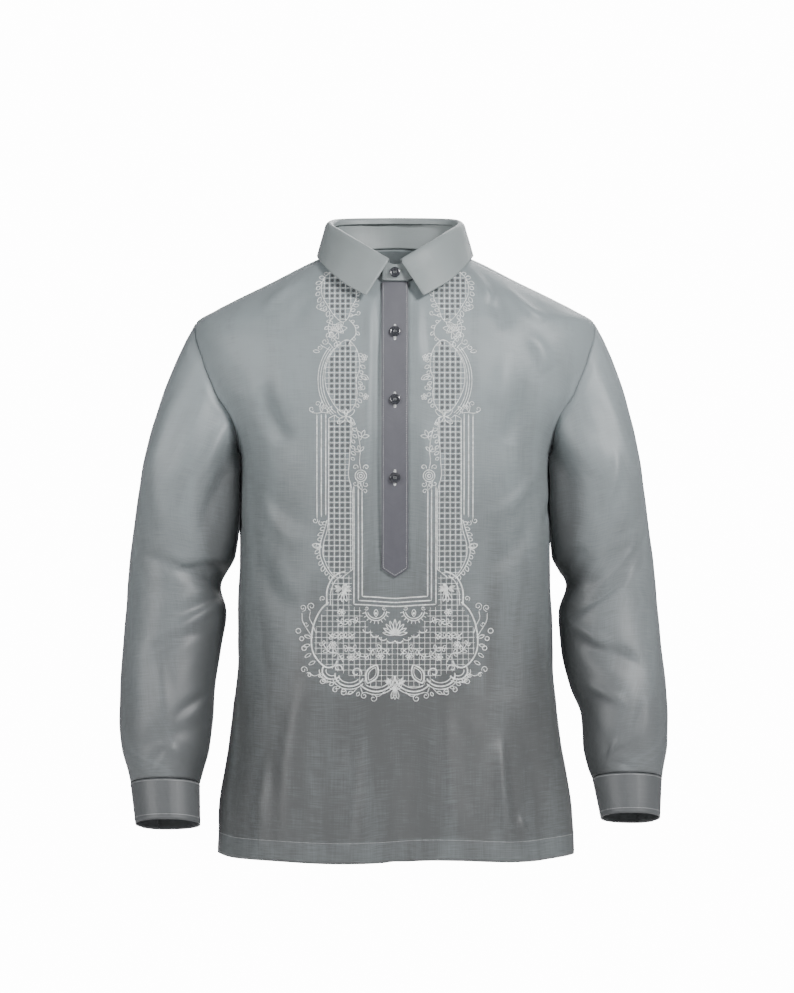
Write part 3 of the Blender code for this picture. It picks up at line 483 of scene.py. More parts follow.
def sleeve_ring(rows, folds, alpha, z):
    """Ring of a sleeve (for +X) at angles from the outer edge by the front, at a centre height."""
    inner, outer, front, back, lean = (read(rows, SLEEVE_NAMES, name, z) for name in SLEEVE_NAMES[1:])
    turn = np.radians(alpha)
    lean = np.radians(lean)
    rho = squareness(turn, SLEEVE_ROUNDNESS)
    out = fold_height(folds, SLEEVE_REACH, alpha, z)
    wide = (outer - inner) / 2 * rho + out
    deep = (back - front) / 2 * rho + out
    x = (outer + inner) / 2 + wide * np.cos(turn)
    y = (front + back) / 2 - deep * np.sin(turn) * np.cos(lean)
    return np.stack([x, y, z + deep * np.sin(turn) * np.sin(lean)], axis=-1)


def armhole_ring(front_count, back_count):
    """Points and sleeve angles of the +X armhole, from the shoulder seam by the front and underarm."""
    front_share = np.arange(front_count + 1) / front_count
    back_share = np.arange(1, back_count) / back_count
    front = body(*along(ARMHOLE_FRONT, front_share))
    back = body(*along(ARMHOLE_BACK, 1.0 - back_share))
    alpha_front = SEAM_ALPHA + (180.0 - SEAM_ALPHA) * front_share
    alpha_back = 180.0 + (180.0 + SEAM_ALPHA) * back_share
    return np.concatenate([front, back]), np.concatenate([alpha_front, alpha_back])


def sleeve_grid(rows, folds, cap_rings, arm_rings, front_count, back_count):
    """Sleeve for +X: rings from the armhole down to the cuff."""
    hole, alpha = armhole_ring(front_count, back_count)
    hole = hole + np.array([SLEEVE_GAP, 0.0, 0.0])
    top_z = rows[0][0]
    low_z = rows[-1][0]
    first = sleeve_ring(rows, folds, alpha, top_z)
    second = sleeve_ring(rows, folds, alpha, top_z - 0.02)
    reach = np.linalg.norm(first - hole, axis=1)[:, None]
    turn = np.radians(alpha)
    outward = CAP_OUT[0] + CAP_OUT[1] * (1 + np.cos(turn)) / 2
    sideways = -CAP_SIDEWAYS * np.sin(turn)
    down = -np.sqrt(1.0 - outward ** 2 - sideways ** 2)
    leave = np.stack([outward, sideways, down], axis=-1) * reach
    arrive = second - first
    arrive = arrive / np.linalg.norm(arrive, axis=1)[:, None] * reach
    rings = []
    for k in range(cap_rings):
        t = k / cap_rings
        ring = hole * (1 + 2 * t) * (1 - t) ** 2 + leave * t * (1 - t) ** 2
        ring = ring + first * t * t * (3 - 2 * t) + arrive * t * t * (t - 1)
        rings.append(ring)
    for k in range(arm_rings + 1):
        z = top_z + (low_z - top_z) * k / arm_rings
        rings.append(sleeve_ring(rows, folds, alpha, z))
    return np.array(rings), alpha


def cuff_point(rows, cuff, alpha, share, lift):
    """A point of a cuff (for +X): `share` down it, `lift` out from its plain form."""
    z, inner, outer, front, back, lean = rows[-1]
    _, top_wide, top_deep, low_wide, low_deep, height, shift = cuff
    turn = np.radians(alpha)
    lean = math.radians(lean)
    rho = squareness(turn, SLEEVE_ROUNDNESS)
    wide = top_wide + (low_wide - top_wide) * share + lift
    deep = top_deep + (low_deep - top_deep) * share + lift
    drop = SEAM + CUFF_DROP + height * share
    x = (inner + outer) / 2 + shift * share + wide * rho * np.cos(turn)
    y = (front + back) / 2 - drop * math.sin(lean) - deep * rho * np.sin(turn) * math.cos(lean)
    up = z - drop * math.cos(lean) + deep * rho * np.sin(turn) * math.sin(lean)
    return np.stack([x, y, up], axis=-1)


def cuff_grid(rows, cuff):
    """Cuff for +X as a strip with a lap at the back."""
    start = CUFF_LAP_AT - 360.0 - CUFF_LAP / 2
    alpha = start + (360.0 + CUFF_LAP) * np.arange(CUFF_COLUMNS + 1) / CUFF_COLUMNS
    lift = CUFF_STEP * ease((alpha - (CUFF_LAP_AT - CUFF_LAP / 2 - CUFF_RISE)) / CUFF_RISE)
    return np.array([cuff_point(rows, cuff, alpha, share, lift) for share in (0.0, 0.34, 0.67, 1.0)])


def collar_size(name, beta):
    return read(COLLAR, COLLAR_NAMES, name, beta)


def collar_line(part, beta):
    """Fold line or lower edge of the collar at signed plan angles."""
    size = np.abs(beta)
    side = np.where(beta < 0, -1.0, 1.0)
    return np.stack([side * collar_size(part + "_x", size), collar_size(part + "_y", size),
                     collar_size(part + "_z", size)], axis=-1)


def outward(points):
    """Level direction out from the neck."""
    flat = points * np.array([1.0, 1.0, 0.0]) + np.array([0.0, 0.010, 0.0])
    return flat / np.linalg.norm(flat, axis=-1, keepdims=True)


def stand_inset(beta):
    """How far inside the fold line the stand's upper edge lies: most at the front, nothing behind."""
    return (STAND_INSET * np.clip((INSET_FADE[0] - np.abs(beta)) / INSET_FADE[1], 0, 1))[:, None]


def fall_grid():
    """Collar fall from inside the stand, over the roll and down to its edge; columns run round the back."""
    half = COLLAR_ENDS + (180.0 - COLLAR_ENDS) * np.linspace(0, 1, FALL_HALF + 1)
    beta = np.concatenate([-half, half[:-1][::-1]])
    fold = collar_line("fold", beta)
    edge = collar_line("edge", beta)
    out = outward(fold)
    inset = stand_inset(beta)
    turned = fold + out * FALL_ROLL * 1.7 - UP * FALL_ROLL * 0.9
    rows = [fold - out * (inwards + inset * share) - UP * drop for inwards, share, drop in FALL_START]
    rows.extend(turned + (edge - turned) * share for share in (0.0, 0.25, 0.5, 0.75, 1.0))
    return np.array(rows)


def stand_columns():
    """Plan angles of the stand: the neckline's own points, and the two lapped ends."""
    steps = np.array(FRONT_STEPS)
    steps = steps[steps <= NECK_STEP + 1e-9] / NECK_STEP
    first = math.degrees(math.asin(SLOT_HALF / NECK_HALF))
    front = first + (SHOULDER_BETA - first) * steps
    steps = np.array(BACK_STEPS)
    steps = steps[steps <= NECK_STEP + 1e-9] / NECK_STEP
    back = 180.0 + (SHOULDER_BETA - 180.0) * steps
    side = np.concatenate([front, back[:-1][::-1]])
    return side, -side[:-1][::-1]


def stand_grid():
    """Collar stand from its over end (at -X of centre), by +X, round the back to its under end."""
    right, left = stand_columns()
    lap = math.degrees(math.asin(PLACKET_HALF / NECK_HALF))
    start = np.array([-lap, 0.0])
    end = np.array([0.0, lap])
    turn = np.concatenate([start, right, 360.0 + left, 360.0 + end])
    beta = np.where(turn > 180.0, turn - 360.0, turn)
    plan_x, plan_y = neck_plan(np.abs(beta))
    side = np.where(beta < 0, -1.0, 1.0)
    first = math.degrees(math.asin(SLOT_HALF / NECK_HALF))
    low_z = body_from_plan(*neck_plan(np.maximum(np.abs(beta), first)))[1]
    low = np.stack([side * plan_x, plan_y, low_z + SEAM + STAND_GAP], axis=-1)
    centre = np.abs(beta) < COLLAR_ENDS
    fold = collar_line("fold", np.where(centre, COLLAR_ENDS * side, beta))
    fold[centre, 0] = 0.0
    high = fold - UP * STAND_TOP_GAP - outward(fold) * stand_inset(beta)
    lift = (STAND_LAP * ease((STAND_RISE[0] - turn) / STAND_RISE[1]))[:, None]
    rows = []
    for share in (0.0, 0.35, 0.7, 1.0):
        line = low + (high - low) * share
        rows.append(line + outward(line) * (lift + STAND_BOW * math.sin(math.pi * share)))
    return np.array(rows)


# --- Finer grids ---

FINE_UP = 8             # steps of a panel's grid cut into this many, up and across
FINE_ACROSS = 8
FINE_SMALL = 6          # the same for the collar, cuffs and placket
RING_STEPS = 8          # and for the sleeves
SHELL = 0.0005          # wall of single cloth as shown
SHELL_DOUBLE = 0.0014   # wall of doubled cloth as shown
HEM_BAND = 0.0255       # turned hem at the lower edge
VENT_BAND = 0.0115      # turned edge of the side vents
SEAM_BAND = 0.009       # seam allowance round the armhole
BAND_FADE = 0.0016      # width over which a turned band ends
VENT_FADE = 0.012       # height over which the vent's band ends
SEAM_FADE = 0.004
SEAM_SHOWS = 0.9        # how strongly the armhole's band shows, against a turned hem's
BAND_RISE = 0.00030     # how far a turned band stands out
PUCKER = 0.00016        # height of the small puckers along the hem's stitching
PUCKER_REACH = 0.010
UNEVEN = 0.00022        # unevenness of the cloth
CREASE_SHARE = 2.1      # how many times its row's height a crease of the front stands out
BACK_SHARE = 1.2        # the same for the back, against the front
SLEEVE_SHARE = 1.5      # the same for the sleeves
SIDE_FADE = 9.0         # degrees from the side seam over which the panels' creases fade
ARMHOLE_FADE = 0.014    # cloth beside the armhole over which all creases fade
UNDER_GAP = 0.0008      # how far the front may sink before it meets the under strip

# Creases in millimetres: both ends across and up, bend, width, and how far it stands out (minus is a trough)
FRONT_CREASES = (
    (98, -20, 119, -52, 2, 5.6, 3.4),
    (133, -36, 178, -72, 4, 6.6, 3.6),
    (112, -34, 134, -82, 2, 8.8, -2.8),
    (156, -90, 179, -135, -5, 9.5, 2.4),
    (-104, -24, -156, -60, 4, 7, 3.3),
    (-95, -42, -128, -88, 2, 10, -1.4),
    (-20, -50, -19.5, -345, 0, 3.6, -2),
    (-29, -90, -32, -335, 3, 7.5, 2.2),
    (27.5, -52, 29, -132, 1, 5.8, 1.9),
    (-30, -52, -31.5, -118, -1, 5.6, 1.6),
    (33, -190, 31, -300, -2, 11, 1.2),
    (145, -654, 153, -674, 1, 3.8, 2.1),
    (123, -565, 137, -700, 5, 8, 3),
    (60, -520, 76, -704, 6, 14, 2.6),
    (28, -570, 21, -704, 3, 16, -1.4),
    (-48, -550, -61, -704, -4, 13, -1.8),
    (-108, -500, -127, -702, 6, 14, 2.1),
    (-148, -590, -156, -700, 3, 9, 1.5),
    (-168, -325, -118, -420, 10, 12.5, -1.8),
    (-160, -275, -105, -340, 8, 9.5, 1.5),
    (170, -295, 110, -365, -8, 12, -1.9),
    (164, -255, 115, -305, -6, 8.5, 1.5),
    (150, -430, 164, -560, 6, 13, 1.8),
    (100, -410, 124, -520, 6, 17, -1.4),
    (-156, -150, -125, -220, 6, 11.5, -2.6),
    (154, -145, 126, -218, -6, 11.5, -2.7),
    (-135, -115, -122, -185, 4, 13, 1.3),
    (130, -112, 118, -178, -4, 13, 1.3),
)
BACK_CREASES = (
    (-150, -190, -102, -275, 10, 12, 2.6),
    (148, -185, 96, -280, -10, 12.5, 2.8),
    (-158, -235, -115, -325, 8, 10, -2.2),
    (156, -230, 112, -315, -8, 10, -2.2),
    (-60, -200, -73, -430, 8, 17, -2.2),
    (54, -230, 68, -480, -8, 18, -2.2),
    (-115, -420, -130, -695, 8, 14.5, 2.8),
    (104, -400, 124, -700, -8, 15.5, 2.6),
    (-20, -490, -28, -704, 5, 13, 2.1),
    (40, -550, 47, -704, 4, 12.5, -1.9),
    (-78, -590, -73, -704, 3, 9, 1.6),
    (160, -540, 170, -700, 4, 10, 1.8),
    (-165, -480, -150, -605, 8, 10.5, -1.8),
    (4, -52, -2, -145, 3, 15, -1.2),
    (-90, -70, -122, -155, 6, 10.5, 1.8),
    (88, -66, 124, -142, -5, 10.5, 1.9),
    (15, -300, 10, -390, 4, 18, 1.4),
)
# The same by angle: both ends as degrees round and millimetres up, on the body's sides and on the sleeves
SIDE_CREASES = (
    (-92, -265, -68, -335, 5, 9, -1.8),
    (90, -268, 62, -330, 5, 9, -1.8),
    (-92, -260, -116, -335, 5, 9.5, -2),
    (92, -262, 118, -345, 5, 9.5, -2),
    (-80, -370, -96, -480, 4, 12, 1.8),
    (98, -380, 84, -500, 4, 12, 1.8),
)
UNDERARM_RIDGES = (
    (150, -195, 152, -360, 0, 13.5, 8),
    (210, -195, 208, -360, 0, 13.5, 7),
)
RIGHT_CREASES = UNDERARM_RIDGES + (
    (104, -195, 124, -275, 4, 10, 3.2),
    (70, -150, 84, -235, 3, 12, 1.8),
    (140, -250, 112, -330, 5, 8.5, -2.6),
    (172, -378, 96, -365, 6, 5.8, -3),
    (150, -386, 70, -348, 5, 6.2, 2.6),
    (160, -408, 96, -440, 5, 6.5, 2.4),
    (128, -442, 62, -472, 6, 8.5, -2.2),
    (84, -470, 104, -560, 6, 10, 1.8),
    (150, -515, 100, -545, 4, 7.2, -2.2),
    (96, -575, 70, -602, 3, 6, -2.4),
    (120, -592, 84, -570, 3, 5.2, 1.5),
    (40, -260, 28, -360, 4, 12, 1.6),
    (22, -420, 46, -530, 5, 11, -1.6),
    (196, -376, 262, -356, 6, 7, 2.8),
    (204, -398, 276, -414, 5, 7, 3),
    (212, -425, 264, -485, 5, 8, -2.4),
    (240, -230, 268, -320, 6, 11, 2.2),
    (225, -270, 250, -340, 4, 9, -2),
    (300, -430, 280, -540, 5, 10, 1.8),
    (268, -575, 276, -620, 1, 3.4, -2.6),
    (284, -585, 288, -620, 1, 3.2, -2.4),
    (276, -570, 282, -620, 1, 3.6, 2),
    (238, -585, 242, -620, 1, 4, -1.8),
    (340, -585, 336, -618, 1, 4, -1.4),
)
LEFT_CREASES = UNDERARM_RIDGES + (
    (62, -225, 96, -300, 4, 9, 3),
    (92, -175, 112, -255, 4, 11, 1.8),
    (44, -328, 132, -400, 6, 6, 3.4),
    (66, -364, 146, -424, 5, 5.8, -3.4),
    (160, -374, 110, -346, 5, 6.5, -2.4),
    (36, -300, 84, -332, 4, 8, -2),
    (150, -432, 96, -460, 5, 6.8, 2.6),
    (120, -460, 62, -480, 5, 7, -2.6),
    (140, -505, 92, -528, 5, 7, 2.2),
    (70, -520, 92, -575, 4, 9, -1.8),
    (122, -588, 92, -566, 3, 5, 2.8),
    (120, -594, 76, -604, 3, 4.8, -3),
    (40, -240, 30, -330, 4, 12, 1.6),
    (24, -440, 40, -540, 5, 11, -1.8),
    (196, -374, 258, -350, 6, 7, 2.8),
    (206, -400, 278, -420, 5, 7.2, 2.8),
    (214, -430, 266, -492, 5, 8, -2.2),
    (242, -235, 270, -325, 6, 11, 2.2),
    (228, -275, 252, -345, 4, 9, -2.2),
    (296, -440, 284, -530, 5, 10, 1.8),
    (268, -570, 275, -614, 1, 3.4, -2.6),
    (284, -580, 289, -614, 1, 3.2, -2.2),
    (276, -565, 282, -614, 1, 3.6, 2),
    (330, -580, 334, -612, 1, 4, -1.4),
)


def creases(rows, u, v, reach=1.0, turn=False):
    """How far creases stand out at (u, v); u is across in metres, or an angle, with `reach` metres to one."""
    total = np.zeros(np.broadcast(u, v).shape)
    unit = 1.0 if turn else MM
    for u1, v1, u2, v2, bend, width, height in np.array(rows) * (unit, MM, unit, MM, MM, MM, MM):
        run = np.array([(u2 - u1) * reach, v2 - v1])
        length = math.hypot(*run)
        across = (u - u1 + 180.0) % 360.0 - 180.0 if turn else u - u1
        across = across * reach
        up = v - v1
        t = (across * run[0] + up * run[1]) / length ** 2
        held = np.clip(t, 0.0, 1.0)
        side = (across * run[1] - up * run[0]) / length - bend * 4 * held * (1 - held)
        beyond = (t - held) * length
        wide = width * (0.75 + 0.5 * held)
        shape = np.exp(-(side / wide) ** 2 - (beyond / width) ** 2)
        total = total + height * shape * (0.12 + 0.88 * np.sin(math.pi * held) ** 0.8)
    return total


def uneven(u, v, size):
    """Slight unevenness of hand-pressed cloth: a sum of slow waves."""
    total = 0.0
    for k, (a, b, phase) in enumerate(((31.0, 57.0, 0.3), (-74.0, 38.0, 1.9), (96.0, 89.0, 4.1),
                                       (-47.0, 131.0, 2.6), (143.0, -61.0, 5.2), (188.0, 167.0, 0.9))):
        total = total + np.sin(a * u + b * v + phase) / (1.0 + 0.5 * k)
    return total * size


def from_armhole(angle, z, front):
    """Cloth between a place and the armhole's line, round the body."""
    table = ARMHOLE_FRONT if front else ARMHOLE_BACK[1:]
    return np.abs(read(table, EDGE_NAMES, "angle", z) - np.abs(angle)) * BODY_REACH


def band_share(angle, z, front):
    """How far inside the turned hem, vent and armhole bands a point is: 1 within them, 0 beyond."""
    hem = 1.0 - ease((z - hem_z(angle, 1) - HEM_BAND) / BAND_FADE + 0.5)
    vents = np.zeros(np.shape(hem))
    for side in (-1, 1):
        edge = side_edge(np.minimum(z, VENT_TOP), side, front)
        within = np.abs(edge - np.abs(angle)) * BODY_REACH
        vent = 1.0 - ease((within - VENT_BAND) / BAND_FADE + 0.5)
        vent = vent * ease((VENT_TOP + VENT_FADE - z) / VENT_FADE)
        vents = np.where(np.sign(angle) == side, vent, vents)
    seam = 1.0 - ease((from_armhole(angle, z, front) - SEAM_BAND) / SEAM_FADE + 0.5)
    seam = seam * ease((z - UNDERARM) / SEAM_FADE)
    return np.maximum(np.maximum(hem, vents), SEAM_SHOWS * seam)


def lift_of(angle, z, front):
    """What the shown cloth adds to the plain form: creases, unevenness, turned bands and their puckers."""
    x = body(angle, z, folded=False)[..., 0]
    from_side = ease(np.abs(90.0 - np.abs(angle)) / SIDE_FADE)
    if front:
        own = creases(FRONT_CREASES, x, z) * CREASE_SHARE * from_side
        under_strip = -UNDER_GAP - 0.6 * np.maximum(np.abs(x) - PLACKET_HALF, 0.0)
        own = np.maximum(own, np.where(z > PLACKET_POINT, under_strip, -1.0))
    else:
        own = creases(BACK_CREASES, x, z) * (CREASE_SHARE * BACK_SHARE) * from_side
    side = creases(SIDE_CREASES, angle, z, BODY_REACH, turn=True)
    clear = np.where(z > UNDERARM, ease(from_armhole(angle, z, front) / ARMHOLE_FADE), 1.0)
    above_band = z - hem_z(angle, 1) - HEM_BAND
    pucker = np.sin(x * 390.0 + 1.7 * np.sin(x * 61.0)) * np.exp(-(above_band / PUCKER_REACH) ** 2)
    band = PUCKER * pucker + BAND_RISE * band_share(angle, z, front)
    return (own + side + uneven(x, z, UNEVEN)) * clear + band


def front_point(angle, z, lift=0.0):
    """A point of the shown front cloth."""
    return body(angle, z, lift_of(angle, z, True) + lift)


def finer(grid, up, across):
    """The same surface with each step of its grid cut into several, smoothly."""
    for axis, count in ((0, up), (1, across)):
        grid = np.swapaxes(grid, 0, axis)
        steps = len(grid) - 1
        grid = through(np.arange(steps + 1), grid, np.arange(steps * count + 1) / count)
        grid = np.swapaxes(grid, 0, axis)
    return grid


def normals(points, closed=False):
    """Unit normals of a grid of points, out of the side its rows and columns turn about."""
    across = np.gradient(points, axis=1)
    if closed:
        across = np.roll(points, -1, axis=1) - np.roll(points, 1, axis=1)
    up = np.gradient(points, axis=0)
    made = np.cross(across, up)
    return made / np.maximum(np.linalg.norm(made, axis=-1, keepdims=True), 1e-12)


# --- Materials ---


def look(name):
    """A new material, with a way to add its nodes."""
    made = bpy.data.materials.new(name)
    made.use_nodes = True
    tree = made.node_tree
    shader = tree.nodes["Principled BSDF"]

    def set_input(node, key, value):
        socket = node.inputs[key]
        if isinstance(value, bpy.types.NodeSocket):
            tree.links.new(value, socket)
        else:
            socket.default_value = value

    def add(kind, inputs=None, out=0, **settings):
        node = tree.nodes.new("ShaderNode" + kind)
        for key, value in settings.items():
            setattr(node, key, value)
        for key, value in (inputs or {}).items():
            set_input(node, key, value)
        return node.outputs[out]

    def finish(inputs):
        for key, value in inputs.items():
            set_input(shader, key, value)
        return made

    return add, finish


def span(add, value, low, high):
    """A value from 0 to 1 mapped on to low to high."""
    return add("MapRange", {"Value": value, "To Min": low, "To Max": high})


def added(add, *values):
    total = values[0]
    for value in values[1:]:
        total = add("Math", {0: total, 1: value}, operation="ADD")
    return total


def cloth_look(name, light, dark, thread_pitch, sheen):
    """Organza: crossed threads, slubs both ways, soft cloudiness, paler turned bands, streaks that are partly
    moire and partly painted sheen, a tone darker towards the hem that is partly painted light from above and
    partly what shows through the cloth, and painted shade on a sleeve's inner side.
    """
    add, finish = look(name)
    place = add("UVMap", uv_map="cloth")
    where = add("TexCoord", out=3)

    def threads(direction):
        pace = 2 * math.pi / 20.0 / thread_pitch
        return add("TexWave", {"Vector": place, "Scale": pace, "Distortion": 0.0}, out=1, wave_type="BANDS",
                   bands_direction=direction)

    def slubs(scale):
        stretched = add("Mapping", {"Vector": place, "Scale": scale})
        return add("TexNoise", {"Vector": stretched, "Scale": 1.0, "Detail": 3.0, "Roughness": 0.6})

    weave = add("Math", {0: threads("X"), 1: threads("Y")}, operation="MAXIMUM")
    slub_across = slubs((38.0, 950.0, 1.0))
    slub_up = slubs((900.0, 26.0, 1.0))
    cloud = add("TexNoise", {"Vector": where, "Scale": 7.0, "Detail": 3.0, "Roughness": 0.5})
    # Broad streaks, lighter and darker along the cloth: partly moire of the sheer layers, partly painted
    # sheen.
    silk = add("TexNoise", {"Vector": add("Mapping", {"Vector": place, "Scale": (26.0, 4.5, 1.0)}),
                            "Scale": 1.0, "Detail": 2.0, "Roughness": 0.45, "Distortion": 0.8})
    moire_and_painted_sheen = add("MapRange", {"Value": silk, "From Min": 0.3, "From Max": 0.7,
                               "To Min": -0.11, "To Max": 0.14})
    # Lighter towards the top and darker towards the hem: partly painted light from above, partly the pale
    # form and dark trousers showing through the sheer cloth.
    height = add("SeparateXYZ", {0: where}, out=2)
    painted_light_and_show_through = add("MapRange", {"Value": height, "From Min": -0.53, "From Max": -0.11})
    # The attribute holds the share of doubled cloth, which pales it, and below 0 the painted shade on a
    # sleeve's inner side.
    band = add("Attribute", out=2, attribute_name="doubled_and_painted_shade")
    tone = added(add, painted_light_and_show_through, span(add, slub_across, -0.36, 0.36), span(add, slub_up, -0.20, 0.20),
                 span(add, cloud, -0.14, 0.14), moire_and_painted_sheen)
    tone = add("Math", {0: band, 1: 0.16, 2: tone}, operation="MULTIPLY_ADD", use_clamp=True)
    colour = add("Mix", {0: tone, 6: (*dark, 1.0), 7: (*light, 1.0)}, out=2, data_type="RGBA")
    # Painted shade: the colour falls to half as bright where the attribute goes below 0, on a sleeve's inner
    # side.
    depth = add("MapRange", {"Value": band, "From Min": -4.0, "From Max": 0.0, "To Min": 0.50, "To Max": 1.0})
    colour = add("VectorMath", {0: colour, 3: depth}, operation="SCALE")
    bump = add("Bump", {"Height": weave, "Strength": 0.30, "Distance": 0.00010})
    bump = add("Bump", {"Height": slub_across, "Strength": 0.30, "Distance": 0.00022, "Normal": bump})
    bump = add("Bump", {"Height": slub_up, "Strength": 0.18, "Distance": 0.00018, "Normal": bump})
    rough = span(add, slub_across, 0.36, 0.50)
    return finish({"Base Color": colour, "Roughness": rough, "Normal": bump, "Specular IOR Level": 0.50,
                   "Sheen Weight": sheen, "Sheen Roughness": 0.35, "Sheen Tint": (0.80, 0.90, 0.95, 1.0)})


def thread_look(name, colour, gloss):
    """Twisted embroidery or sewing thread."""
    add, finish = look(name)
    where = add("TexCoord", out=3)
    twist = add("TexNoise", {"Vector": where, "Scale": 1500.0, "Detail": 2.0})
    cloud = add("TexNoise", {"Vector": where, "Scale": 240.0, "Detail": 3.0, "Roughness": 0.7})
    patchy = add("MapRange", {"Value": cloud, "From Min": 0.35, "From Max": 0.65,
                              "To Min": 0.70, "To Max": 1.25})
    shade = add("Math", {0: span(add, twist, 0.80, 1.12), 1: patchy}, operation="MULTIPLY")
    tint = add("VectorMath", {0: colour, 3: shade}, operation="SCALE")
    bump = add("Bump", {"Height": twist, "Strength": 0.45, "Distance": 0.00025})
    return finish({"Base Color": tint, "Roughness": gloss, "Normal": bump, "Sheen Weight": 0.35,
                   "Sheen Roughness": 0.3, "Specular IOR Level": 0.5})


def opening_look():
    """Cloth seen through a drawn opening of the net."""
    add, finish = look("drawn_opening")
    speckle = add("TexNoise", {"Vector": add("TexCoord", out=3), "Scale": 900.0, "Detail": 1.0})
    shade = span(add, speckle, 0.75, 1.25)
    return finish({"Base Color": add("VectorMath", {0: (0.112, 0.121, 0.124), 3: shade}, operation="SCALE"),
                   "Roughness": 0.75})


def resin_look():
    """Dark polished resin with a faint swirl."""
    add, finish = look("button_resin_polished")
    where = add("TexCoord", out=3)
    swirl = add("TexNoise", {"Vector": where, "Scale": 260.0, "Detail": 4.0, "Distortion": 1.4})
    grain = add("TexNoise", {"Vector": where, "Scale": 2600.0, "Detail": 2.0})
    colour = add("Mix", {0: swirl, 6: (0.016, 0.017, 0.021, 1.0), 7: (0.060, 0.062, 0.074, 1.0)}, out=2,
                 data_type="RGBA")
    bump = add("Bump", {"Height": grain, "Strength": 0.08, "Distance": 0.0001})
    return finish({"Base Color": colour, "Roughness": span(add, swirl, 0.14, 0.26), "Coat Weight": 0.5,
                   "Coat Roughness": 0.08, "Normal": bump})


THREAD_PITCH = 0.00052
ORGANZA = cloth_look("organza_weave", (0.286, 0.325, 0.338), (0.099, 0.103, 0.104), THREAD_PITCH, 0.08)
SLEEVE_CLOTH = cloth_look("sleeve_weave", (0.302, 0.340, 0.354), (0.146, 0.156, 0.161), THREAD_PITCH, 0.08)
COLLAR_CLOTH = cloth_look("collar_weave", (0.300, 0.333, 0.335), (0.150, 0.166, 0.168), THREAD_PITCH, 0.06)
PLACKET_CLOTH = cloth_look("placket_weave", (0.138, 0.138, 0.156), (0.088, 0.086, 0.104), THREAD_PITCH, 0.06)
CUFF_CLOTH = cloth_look("cuff_weave", (0.165, 0.174, 0.178), (0.112, 0.118, 0.122), THREAD_PITCH, 0.06)
SILVER = thread_look("silver_thread", (0.94, 0.95, 0.93), 0.34)
SEWING = thread_look("sewing_thread", (0.46, 0.47, 0.48), 0.5)
DRAWN = opening_look()
RESIN = resin_look()


# --- Shells ---


def mesh_from(name, points, faces, material, uv=None, doubled_and_painted_shade=None):
    """A mesh of only the points that its faces use; `uv` is given by face corner."""
    used, flat = np.unique(faces, return_inverse=True)
    faces = flat.reshape(faces.shape)
    mesh = bpy.data.meshes.new(name)
    mesh.from_pydata(points.reshape(-1, 3)[used].tolist(), [], faces.tolist())
    mesh.polygons.foreach_set("use_smooth", np.ones(len(faces), bool))
    if uv is not None:
        layer = mesh.uv_layers.new(name="cloth")
        layer.data.foreach_set("uv", uv.astype(np.float32).ravel())
    if doubled_and_painted_shade is not None:
        share = mesh.attributes.new("doubled_and_painted_shade", "FLOAT", "POINT")
        share.data.foreach_set("value", doubled_and_painted_shade.reshape(-1)[used].astype(np.float32))
    mesh.materials.append(material)
    mesh.update()
    made = bpy.data.objects.new(name, mesh)
    bpy.context.scene.collection.objects.link(made)
    return made


def corners_of(grid, i, j, k):
    """Values of a grid at the four corners of its faces, with `k` the column after `j`."""
    return np.stack([grid[i, j], grid[i, k], grid[i + 1, k], grid[i + 1, j]], axis=2)


def shell(name, points, wall, material, closed=False, flip=False, skip=None, doubled_and_painted_shade=None):
    """A cloth shell from a grid of points, with cloth lengths as its UV map and a thin wall inwards."""
    rows, columns = points.shape[:2]
    i = np.arange(rows - 1)[:, None]
    j = np.arange(columns if closed else columns - 1)[None]
    i, j = np.broadcast_arrays(i, j)
    faces = corners_of(np.arange(rows * columns).reshape(rows, columns), i, j, (j + 1) % columns)
    ring = np.concatenate([points, points[:, :1]], axis=1) if closed else points
    across = np.cumsum(np.linalg.norm(np.diff(ring, axis=1), axis=-1), axis=1)
    across = np.concatenate([np.zeros((rows, 1)), across], axis=1)
    up = np.cumsum(np.linalg.norm(np.diff(ring, axis=0), axis=-1), axis=0)
    up = np.concatenate([np.zeros((1, ring.shape[1])), up], axis=0)
    if closed:
        up = up - up[-1:]
    else:
        across = across - across[:, columns // 2][:, None]
    corners = corners_of(np.stack([across, up], axis=-1), i, j, j + 1)
    keep = np.ones(i.shape, bool) if skip is None else ~skip(i, j)
    faces = faces[keep]
    corners = corners[keep]
    if flip:
        faces = faces[:, ::-1]
        corners = corners[:, ::-1]
    made = mesh_from(name, points, faces, material, corners, doubled_and_painted_shade)
    solid = made.modifiers.new("wall", "SOLIDIFY")
    solid.thickness = wall
    solid.offset = -1.0
    solid.use_rim = True
    return made


def domain_grid(front):
    """(angle, z) grid of a whole panel: from -X to +X for the front, and on round from +X for the back."""
    right = half_panel(-1, front)
    left = half_panel(1, front)
    if front:
        middle = pair(np.zeros(left.shape[0]), left[:, 0, 1])[:, None]
        return np.concatenate([right[:, ::-1] * (-1.0, 1.0), middle, left], axis=1)
    return np.concatenate([left[:, ::-1], right[:, 1:] * (-1.0, 1.0) + (360.0, 0.0)], axis=1)


def wrapped(angle):
    return (angle + 180.0) % 360.0 - 180.0


def part_of(piece):
    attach(piece, "root")
    return piece


